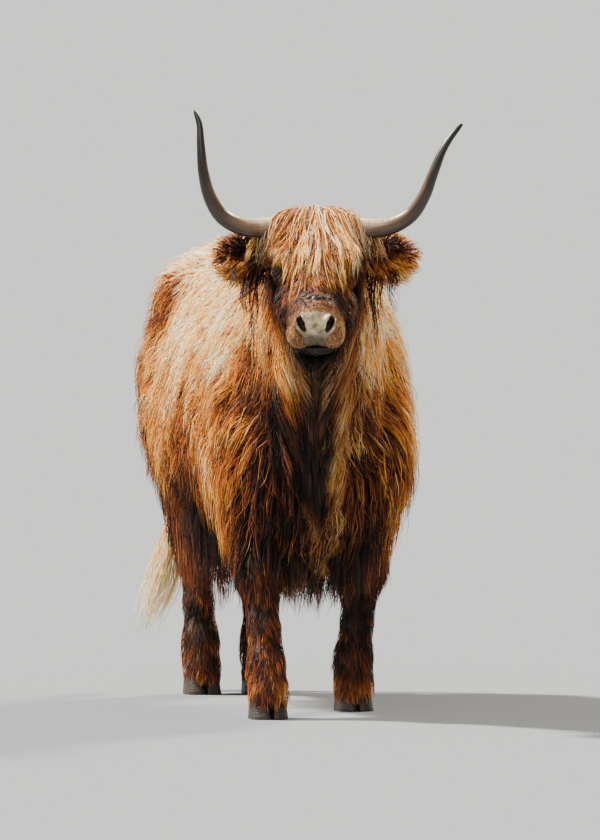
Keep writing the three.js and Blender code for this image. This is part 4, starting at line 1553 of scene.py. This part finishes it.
def forelock():
    """The fringe: from the crown over the brow, its tips below the eyes."""

    def density(points, facing, shares):
        side, along, off = head_coordinates(points).T
        crown = (1 - ramp(along, 66, 112)) * ramp(off, -90, -56) * (1 - ramp(np.abs(side), 88, 106))
        return 84000 * crown * share_of(shares, "head", "neck") * ramp(along, -74, -44)

    def flow(points, facing):
        side, along = head_coordinates(points).T[:2]
        spread = np.clip(side / 150, -0.6, 0.6) + 0.25 * wobble(points, 0.08, 31)
        over = 1 - ramp(along, -10, 30)
        return HEAD_ALONG + np.outer(spread, HEAD_SIDE) - UP * 0.25 + np.outer(0.25 * over, LEVEL_FORWARD)

    roots = skin_roots(density)
    count = len(roots)
    side, along = head_coordinates(roots).T[:2]
    middle = near(side, 0, 84)
    long_ones = random.random(count) ** 2
    length = 84 + 168 * middle**1.2 + 40 * (1 - ramp(along, -40, 60)) + 84 * long_ones * (0.2 + middle)
    depth = (8 + 13 * (1 - ramp(along, -30, 80))) * drawn(0.3, 1.35, count) + 8 * strays(count, 0.12)
    lay(
        "coat_forelock", roots, length * drawn(0.64, 1.1, count), depth, drawn(0.25, 0.65, count),
        drawn(1.6, 3.0, count), 7, flow=flow, hug=0.6, hang=0.8, size=14, pull=0.88, sway=(3, 9),
        turns=1.25, tone=0.06 + 0.12 * middle - 0.34 * ramp(np.abs(side), 46, 76), tip=(-0.26, 0.22),
        spread=0.21,
    )


def ear_hair(side):
    """A shaggy ear: dark in the cup, with a bright fringe all round the rim."""
    name = f"ear_{SIDE_NAMES[side]}"
    centre = on_ear(side, 150, 0, 8)

    def density(points, facing, shares):
        mine = share_of(shares, name)
        return 84000 * mine * ramp(mine, 0.2, 0.5)

    def flow(points, facing):
        gap = points - centre
        out = gap @ HEAD_SIDE * side / (74 * MM)
        high = gap[:, 2] / (36 * MM)
        rim = ramp(np.sqrt(out**2 + high**2), 0.35, 0.9)
        radial = np.outer(out * 0.8 + 0.2, side * HEAD_SIDE) + np.outer(high, UP)
        inner = side * HEAD_SIDE * 0.5 - UP * 0.8 + LEVEL_FORWARD * 0.2
        return radial * rim[:, None] + np.outer(1 - rim, inner) - UP * 0.2

    roots = skin_roots(density)
    count = len(roots)
    low = ramp(-(roots - centre)[:, 2], 0.0, 0.03)
    facing = outward(field, roots)
    front = ramp(facing @ LEVEL_FORWARD, 0.2, 0.8)
    inner_part = 1 - ramp(np.abs(head_coordinates(roots)[:, 0]), 96, 160)
    outer_part = ramp(np.abs(head_coordinates(roots)[:, 0]), 170, 220)
    length = (38 + 30 * low + 34 * low * inner_part - 20 * outer_part) * drawn(0.6, 1.3, count)
    depth = drawn(10, 34, count) * (1 - 0.3 * front)
    lay(
        f"coat_{name}", roots, length, depth, drawn(0.3, 0.7, count), drawn(1.6, 2.7, count), 4,
        flow=flow, hug=0.1, hang=0.4, size=10, pull=0.6, sway=(1, 4), turns=0.9,
        tone=0.24 - 0.4 * front * (1 - 0.5 * low) - 0.16 * low * inner_part, tip=(0.04, 0.34), spread=0.09,
    )


STRANDS = [  # how far out they hang from the ear, and how long they are, in millimetres
    (118, 150), (131, 205), (143, 236), (156, 176), (170, 128), (188, 96),
]
HAIRS_PER_STRAND = 8


def ear_strands(side):
    """Long thin wet-looking strands that hang from below the ear."""
    name = f"ear_{SIDE_NAMES[side]}"
    out, long = np.repeat(np.array(STRANDS, float), HAIRS_PER_STRAND, axis=0).T
    count, rows = len(out), 11
    lock = np.repeat(np.arange(len(STRANDS)), HAIRS_PER_STRAND)
    long *= drawn(0.6, 1.0, count) * drawn(0.9, 1.15, len(STRANDS))[lock]
    out += drawn(-6, 6, len(STRANDS))[lock]
    share = np.linspace(0, 1, rows)[None]
    spread = drawn(-8, 8, (2, count))[:, :, None] * (1 - 0.55 * share**0.5)
    start = POLL + np.outer(out, side * HEAD_SIDE) * MM - LEVEL_FORWARD * EAR_BACK * MM
    start += UP * (np.interp(out, (110, 160, 200), (-22, -24, -14)) - 90)[:, None] * MM
    paths = start[:, None] - UP * (long[:, None] * share)[:, :, None] * MM
    paths = paths + HEAD_SIDE * (spread[0] + 10 * side * share)[:, :, None] * MM
    paths = paths + LEVEL_FORWARD * (spread[1] + 30 * share**0.5 + 80 * share)[:, :, None] * MM
    facings = np.broadcast_to(LEVEL_FORWARD, paths.shape).copy()
    paths = wave(paths, facings, lock, drawn(5, 9, count) * MM, 1.2, 61)
    tones = tones_along(np.full(count, 0.2), rows, lock, np.full(count, 0.08), 62, 0.04)
    shares = part_shares(paths[:, 0])
    coat(f"coat_{name}_strands", paths, facings, drawn(1.3, 2.1, count) * MM, tones, shares)


def dock_hair():
    """Short hair down the dock."""

    def density(points, facing, shares):
        return 15000 * share_of(shares, "tail") * ramp(points[:, 2], 0.52, 0.56)

    roots = skin_roots(density)
    count = len(roots)
    lay(
        "coat_dock", roots, drawn(45, 90, count), drawn(5, 18, count), drawn(0.1, 0.3, count),
        drawn(2.6, 4.2, count), 4, size=14, sway=(1, 4), turns=1.0,
    )


# Middle line of the switch from its top down, and how far its hair reaches from that line.
SWITCH_LINE = np.array(
    [at(-42, 1298, 620), at(-50, 1296, 560), at(-74, 1288, 450), at(-100, 1282, 350),
     at(-130, 1278, 262), at(-160, 1276, 188), at(-186, 1275, 118)]
)
SWITCH_REACH = np.array([8, 22, 36, 44, 44, 34, 12]) * MM


def tail_switch():
    """The long pale hair at the end of the tail."""
    count, rows = 560, 9
    start = drawn(0.0, 0.36, count)
    end = np.minimum(start + drawn(0.4, 0.72, count), 1.0)
    share = start[:, None] + (end - start)[:, None] * np.linspace(0, 1, rows)[None]
    table = np.column_stack([np.linspace(0, 1, len(SWITCH_LINE)), SWITCH_LINE, SWITCH_REACH])
    line = np.stack([along_table(table, i, share) for i in (1, 2, 3)], -1)
    reach = along_table(table, 4, share) * (0.25 + 0.75 * np.linspace(0, 1, rows)[None] ** 0.7)
    turn = drawn(0, 2 * math.pi, count)[:, None] + drawn(-0.7, 0.7, count)[:, None] * share
    loose = 1 + 0.9 * strays(count, 0.3)
    off_line = reach * (random.random(count) ** 0.5 * loose)[:, None]
    spoke = np.stack([np.cos(turn), np.sin(turn), np.zeros_like(turn)], -1)
    paths = line + spoke * off_line[:, :, None]
    paths, lock = gather(paths, 0.02, 0.55, 41)
    facings = unit(spoke + 0.01)
    paths = wave(paths, facings, lock, drawn(3, 12, count) * MM, 1.7, 42)
    shares = part_shares(paths[:, 0])
    tones = tones_along(0.84 + 0.16 * end, rows, lock, drawn(0.0, 0.14, count), 43)
    coat("tail_switch_hair", paths, facings, drawn(2.0, 3.4, count) * MM, tones, shares)


body_coat()
skirt()
chest_locks()
leg_coat()
face_coat()
cheek_hair()
beard()
beard_edges()
forelock()
for side in SIDE_NAMES:
    ear_hair(side)
    ear_strands(side)
dock_hair()
tail_switch()


# ------------------------------------------------------------------ horns, hooves and eyes
def closed_rings(rings):
    """Points and faces of a closed form from rings of points, with a pole at each end."""
    count, around = rings.shape[:2]
    points = np.concatenate([rings.reshape(-1, 3), rings[:1].mean(1), rings[-1:].mean(1)])
    ring = np.arange(around)
    after = (ring + 1) % around
    rows = (np.arange(count - 1) * around)[:, None]
    quads = np.stack([ring + rows, after + rows, after + rows + around, ring + rows + around], -1)
    first, last, base = count * around, count * around + 1, (count - 1) * around
    caps = [
        np.stack([after, ring, np.full(around, first)], 1),
        np.stack([ring + base, after + base, np.full(around, last)], 1),
    ]
    return points, [quads.reshape(-1, 4), np.concatenate(caps)]


def ring_angles(count):
    return np.linspace(0, 2 * math.pi, count, endpoint=False)


def per_ring(values):
    """Values given per ring point, with the two poles added."""
    flat = values.reshape(-1, *values.shape[2:])
    return np.concatenate([flat, values[:1, 0], values[-1:, 0]])


def grain_of(turn, around, along):
    """Places for the streaks of horn and hoof, `around` to each side of the piece's middle line."""
    across = (around * np.cos(turn)[None], around * np.sin(turn)[None])
    return np.stack(np.broadcast_arrays(*across, along), -1)


def add_shell(name, rings, material, slot, along, grain, **others):
    """The shell of a horn or claw, in place of its node, with the values that its material reads."""
    points, faces = closed_rings(rings)
    mesh = make_mesh(f"{name}_shell", points, faces)
    store(mesh, "along", per_ring(along))
    store(mesh, "grain", per_ring(grain), "FLOAT_VECTOR")
    for label, values in others.items():
        store(mesh, label, per_ring(values))
    make_piece(mesh.name, mesh, material, [name])


# Centre lines of the horns: outwards from the middle of the head, up, and forwards of the poll.
HORN_RIGHT = np.array(
    [
        [44, 0, -2], [70, 0, 0], [118, -4, 4], [176, 0, 16], [221, 24, 28], [248, 66, 36],
        [264, 124, 36], [271, 196, 26], [275, 244, 13], [287, 276, 2],
    ]
)
HORN_LEFT = np.array(
    [
        [44, 0, -2], [70, 0, 0], [124, -6, 4], [180, 2, 16], [226, 28, 28], [256, 72, 36],
        [277, 124, 37], [305, 188, 27], [329, 222, 15], [348, 243, 5],
    ]
)
HORN_RADIUS, HORN_NARROWING = 27, 0.78  # at the root, and the share that is lost by the tip
HORN_TIP_SHARE = 0.06  # of the length, where the horn rounds off to its blunt tip
HORN_TIP_ROUNDING = 0.94  # how far the tip closes: 1 is fully
HORN_LEVEL, HORN_BACK = -22, 12  # of the root from the poll, up and backwards
SHELL_INSET = 0.6  # how far the shell lies inside the solid
FLUTES, FLUTE_DEPTH = 5, 0.014
RING_SPACING, RING_DEPTH = 5.5, 0.02


def horn(side, line):
    """A horn along its centre line, fluted at the root and smooth at the tip."""
    around, rows = 40, 110
    steps = np.linalg.norm(np.diff(line, axis=0), axis=1)
    table = np.column_stack([np.concatenate([[0], np.cumsum(steps)]), line])
    length = np.linspace(0, table[-1, 0], rows)
    out, high, forward = (along_table(table, i, length) for i in (1, 2, 3))
    centre = POLL + np.outer(side * out, HEAD_SIDE) * MM
    centre += np.outer(forward - HORN_BACK, LEVEL_FORWARD) * MM
    centre += np.outer(HORN_LEVEL + high, UP) * MM
    start = steps[0]
    share = np.clip((length - start) / (table[-1, 0] - start), 0, 1)
    into_tip = np.clip((share - 1) / HORN_TIP_SHARE + 1, 0, 1)
    rounding = np.sqrt(1 - HORN_TIP_ROUNDING * into_tip**2)
    radius = (HORN_RADIUS * (1 - HORN_NARROWING * share) * rounding - SHELL_INSET) * MM
    heading = unit(np.gradient(centre, axis=0))
    a = tangent_to(heading, np.tile(LEVEL_FORWARD, (rows, 1)))
    b = np.cross(heading, a)
    turn = ring_angles(around)
    spoke = a[:, None] * np.cos(turn)[None, :, None] + b[:, None] * np.sin(turn)[None, :, None]
    flute = 1 + FLUTE_DEPTH * np.sin(FLUTES * turn + 1.0)[None] * (1 - share)[:, None]
    ring = RING_DEPTH * np.sin(length / RING_SPACING)[:, None] * (1 - ramp(share, 0.1, 0.3))[:, None]
    rings = centre[:, None] + spoke * (radius[:, None] * (flute + ring))[:, :, None]
    # Painted highlight: the horn is paler on its upper side towards the root and on its inner side further
    # out.
    upper = spoke[:, :, 2] * 0.5 + 0.5
    inward = -(spoke @ HEAD_SIDE) * side * 0.5 + 0.5
    lit_above = upper * (1 - ramp(share, 0.3, 0.6))[:, None]
    lit_inside = 0.75 * inward**2 * ramp(share, 0.2, 0.5)[:, None]
    light = np.maximum(lit_above, lit_inside)
    root, point = (1 - ramp(share, 0.04, 0.42))[:, None], ramp(share, 0.55, 0.9)[:, None]
    pale = -0.16 + (0.3 * root + 0.38 - 0.1 * point) * light + 0.06 * root - 0.16 * point
    along = np.broadcast_to(share[:, None], (rows, around))
    grain = grain_of(turn, 2.6, (share * 3.2)[:, None])
    ridged = 1 - ramp(along, 0.15, 0.5)
    name = f"horn_{SIDE_NAMES[side]}"
    add_shell(name, rings, horn_material, "horn", along, grain, pale=pale, ridged=ridged)


def curve_points(start, bend, end, count):
    """Points of a curve that leans towards bend on its way, without its end."""
    t = np.linspace(0, 1, count, endpoint=False)[:, None]
    start, bend, end = map(np.array, (start, bend, end))
    return start * (1 - t) ** 2 + bend * 2 * t * (1 - t) + end * t**2


HOOF_HEIGHT, HOOF_LENGTH, HOOF_WIDTH = 66, 104, 43
HOOF_SPLIT, HOOF_TAPER, HOOF_RAKE, HOOF_SLOPE = 4, 0.22, 16, 0.36
HOOF_TOE, HOOF_HEEL = 0.56, 0.44  # shares of the length ahead of the foot's place and behind it
HOOF_MIDDLE = -6  # the line that a claw narrows to, a little ahead of the foot's place


def claw_outline(inner):
    """The sole of one claw, with its point to the inner side."""
    half, toe, heel = HOOF_WIDTH / 2, -HOOF_LENGTH * HOOF_TOE, HOOF_LENGTH * HOOF_HEEL
    tip = (half * inner * 0.8, toe)
    arcs = [
        ((0, heel), (half, heel), (half, heel * 0.3), 6),
        ((-half, heel * 0.3), (-half, heel), (0, heel), 6),
        ((-half, toe * 0.35), (-half, 0), (-half, heel * 0.3), 5),
        (tip, (-half, toe), (-half, toe * 0.35), 9),
        ((half, toe * 0.35), (half, toe), tip, 9),
        ((half, heel * 0.3), (half, 0), (half, toe * 0.35), 5),
    ]
    return np.concatenate([curve_points(*arc)[::-1] for arc in arcs])


def claw(name, foot, inner):
    """One claw, from its sole up: inner is 1 or -1, for the side that faces the other claw."""
    outline = claw_outline(inner)
    heights = np.array([0, 0, 1.2, 4, 12, 22, 32, 42, 52, 60, 64, 66, 66])
    inset = np.array([0.6, 0.96, 0.985, 1, 0.995, 0.99, 0.985, 0.985, 0.98, 0.97, 0.93, 0.85, 0.5])
    lift = (heights / HOOF_HEIGHT)[:, None]
    x = outline[None, :, 0] * (1 - HOOF_TAPER * lift) * inset[:, None]
    y = (outline[None, :, 1] - HOOF_MIDDLE) * (1 - HOOF_TAPER * lift) * inset[:, None]
    y = y + HOOF_MIDDLE + HOOF_RAKE * lift
    backward = (outline[None, :, 1] + HOOF_TOE * HOOF_LENGTH) / HOOF_LENGTH
    z = heights[:, None] * (1 - HOOF_SLOPE * backward)
    place = (foot[0] - inner * (HOOF_WIDTH + HOOF_SPLIT) / 2, foot[1])
    rings = np.stack(np.broadcast_arrays(x + place[0], y + place[1], z), -1) * MM + FEET
    turn = ring_angles(len(outline))
    grain = grain_of(turn, 7, lift * 0.8)
    add_shell(name, rings, hoof_material, "hoof", z / HOOF_HEIGHT, grain)


DEWCLAW_PLACE = (19, 56, 104)  # from the foot's place: to the side, backwards, up
DEWCLAW_TILT, DEWCLAW_LENGTH = math.radians(62), 33


def dewclaw(name, foot, side):
    """A small blunt claw behind the fetlock."""
    turn = ring_angles(18)
    axis = np.array([0, math.cos(DEWCLAW_TILT), math.sin(DEWCLAW_TILT)])
    across = np.array([1.0, 0, 0])
    over = np.cross(axis, across)
    share = np.array([0, 0, 0.06, 0.2, 0.4, 0.6, 0.8, 0.93, 1, 1])
    radius = np.array([4, 9, 11.4, 12.2, 11.2, 9.8, 8.6, 6.6, 4, 1.5])
    spoke = across[None] * np.cos(turn)[:, None] + over[None] * np.sin(turn)[:, None]
    out, back, high = DEWCLAW_PLACE
    middle = np.array([foot[0] + side * out, foot[1] + back, high])
    line = middle + axis * ((share - 0.5) * DEWCLAW_LENGTH)[:, None, None]
    rings = (line + spoke[None] * radius[:, None, None]) * MM + FEET
    along = np.broadcast_to(share[:, None], rings.shape[:2])
    add_shell(name, rings, hoof_material, "hoof", along, grain_of(turn, 3, share[:, None]))


def eye(side):
    """An eyeball with a brown iris and a wide level pupil."""
    around, rows = 48, 30
    centre = eye_centre(side)
    gaze = unit(HEAD_SIDE * side * 0.86 + HEAD_ALONG * 0.42 + HEAD_OFF * 0.1)
    level = tangent_to(gaze[None], HEAD_ALONG[None])[0]
    upright = np.cross(gaze, level)
    turn = ring_angles(around)
    slope = np.linspace(0.03, math.pi - 0.03, rows)
    flat = np.cos(turn)[:, None] * level + np.sin(turn)[:, None] * upright
    rings = -np.cos(slope)[:, None, None] * gaze + np.sin(slope)[:, None, None] * flat[None]
    points, faces = closed_rings(centre + rings * EYE_RADIUS * MM)
    name = f"eye_{SIDE_NAMES[side]}"
    mesh = make_mesh(f"{name}_ball", points, faces)
    ahead, wide, high = (per_ring(rings @ v) for v in (gaze, level, upright))
    iris = 1 - ramp(np.hypot(wide / 0.66, high / 0.6), 0.92, 1.04)
    pupil = 1 - ramp(np.hypot(wide / 0.42, high / 0.2), 0.85, 1.05)
    front = ahead > 0
    store(mesh, "gaze", np.where(front, 0.2 + 0.35 * iris + 0.4 * pupil, 0.1))
    make_piece(mesh.name, mesh, eye_material, [name])


LASH_LINE = 23.4  # millimetres from the middle of the eye to the roots of the lashes


def lashes(side):
    """A row of lashes along the upper lid."""
    count, rows = 44, 5
    centre = eye_centre(side)
    out = unit(HEAD_SIDE * side * 0.9 + HEAD_OFF * 0.35)
    spread = np.linspace(-0.95, 0.95, count) + random.normal(0, 0.03, count)
    start = unit(out[None] + np.outer(np.sin(spread), HEAD_ALONG) + HEAD_OFF * 0.38)
    share = np.linspace(0, 1, rows)[None, :, None]
    reach = drawn(15, 24, count)[:, None, None] * MM
    droop = -UP * 0.35 * share**2
    lid = centre + start[:, None] * LASH_LINE * MM
    paths = lid + (start[:, None] + HEAD_SIDE * side * 0.3 + droop) * share * reach
    facings = np.tile(HEAD_OFF, (count, rows, 1))
    shares = part_shares(paths[:, 0])
    tone = np.full((count, rows), 0.2) + random.normal(0, 0.05, count)[:, None]
    width = drawn(1.0, 1.5, count) * MM
    coat(f"coat_lashes_{SIDE_NAMES[side]}", paths, facings, width, tone, shares)


horn(RIGHT, HORN_RIGHT)
horn(LEFT, HORN_LEFT)
for side, label in SIDE_NAMES.items():
    eye(side)
    lashes(side)
    for place, feet in (("fore", FORE_FOOT), ("hind", HIND_FOOT)):
        for inner, letter in ((1, "a"), (-1, "b")):
            claw(f"claw_{letter}_{place}_{label}", feet[side], inner)
            dewclaw(f"dewclaw_{letter}_{place}_{label}", feet[side], inner)

# ------------------------------------------------------------------ stage, lights and camera
VIEW_DISTANCE = 28.0  # metres from the fore feet
VIEW_HEIGHT, VIEW_SHIFT = 1.445, 0.0264  # metres up from the floor, and to the viewer's left
VIEW_TURN = math.radians(11)  # she is seen from her right front
VIEW_FALL = 1.505  # degrees that the camera looks down
LENS = 499.2
SIGHT = np.array([math.sin(VIEW_TURN), math.cos(VIEW_TURN), 0.0])
SIGHT_RIGHT = np.array([math.cos(VIEW_TURN), -math.sin(VIEW_TURN), 0.0])


def add_camera():
    """A long lens from far off, at about the height of her horns."""
    data = bpy.data.cameras.new("camera")
    data.lens = LENS
    data.sensor_width = 36
    data.clip_end = 3000
    camera = bpy.data.objects.new("camera", data)
    bpy.context.scene.collection.objects.link(camera)
    camera.location = Vector(
        FEET - SIGHT * VIEW_DISTANCE - SIGHT_RIGHT * VIEW_SHIFT + UP * VIEW_HEIGHT
    )
    camera.rotation_euler = (math.radians(90 - VIEW_FALL), 0, -VIEW_TURN)
    bpy.context.scene.camera = camera


# Each sun: strength, softness in degrees, height in degrees, turn from her front, colour.
SUNS = {
    "key": (14.5, 4, 50, -122, (1.0, 0.91, 0.76)),
    "rim": (7.0, 10, 36, 136, (1.0, 0.86, 0.64)),
    "fill": (1.05, 30, 40, -20, (1.0, 0.97, 0.93)),
}
SKY = np.array((0.93, 0.94, 0.96)) * 0.42
FLOOR_COLOUR = np.array((0.197, 0.2167, 0.2526))


def add_suns():
    for name, (strength, softness, height, turn, colour) in SUNS.items():
        data = bpy.data.lights.new(name, "SUN")
        data.energy = strength
        data.angle = math.radians(softness)
        data.color = colour
        sun = bpy.data.objects.new(name, data)
        bpy.context.scene.collection.objects.link(sun)
        high, round_her = math.radians(height), math.radians(turn)
        level = math.cos(high)
        towards = Vector((math.sin(round_her) * level, -math.cos(round_her) * level, math.sin(high)))
        sun.rotation_mode = "QUATERNION"
        sun.rotation_quaternion = (-towards).to_track_quat("-Z", "Y")


def lit_floor():
    """The brightness of the open floor, which the backdrop takes up so that no horizon shows."""
    suns = sum(
        strength * math.sin(math.radians(height)) / math.pi * np.array(colour)
        for strength, _, height, _, colour in SUNS.values()
    )
    return FLOOR_COLOUR * (suns + SKY)


def add_world():
    world = bpy.data.worlds.new("studio")
    world.use_nodes = True
    tree = world.node_tree
    seen = new_node(tree, "ShaderNodeLightPath").outputs["Is Camera Ray"]
    colour = mixed_colour(tree, seen, (*SKY, 1), (*lit_floor(), 1))
    tree.links.new(colour, tree.nodes["Background"].inputs["Color"])
    bpy.context.scene.world = world


def add_floor(half_size):
    corners = np.array([(-1, -1, 0), (1, -1, 0), (1, 1, 0), (-1, 1, 0)]) * half_size
    mesh = make_mesh("floor", corners, [np.array([[0, 1, 2, 3]])])
    material, _, shader = new_material("floor", 1.0, Specular_IOR_Level=0.0)
    shader.inputs["Base Color"].default_value = (*FLOOR_COLOUR, 1)
    mesh.materials.append(material)
    floor = bpy.data.objects.new("floor", mesh)
    bpy.context.scene.collection.objects.link(floor)


add_camera()
add_suns()
add_world()
add_floor(half_size=2000.0)
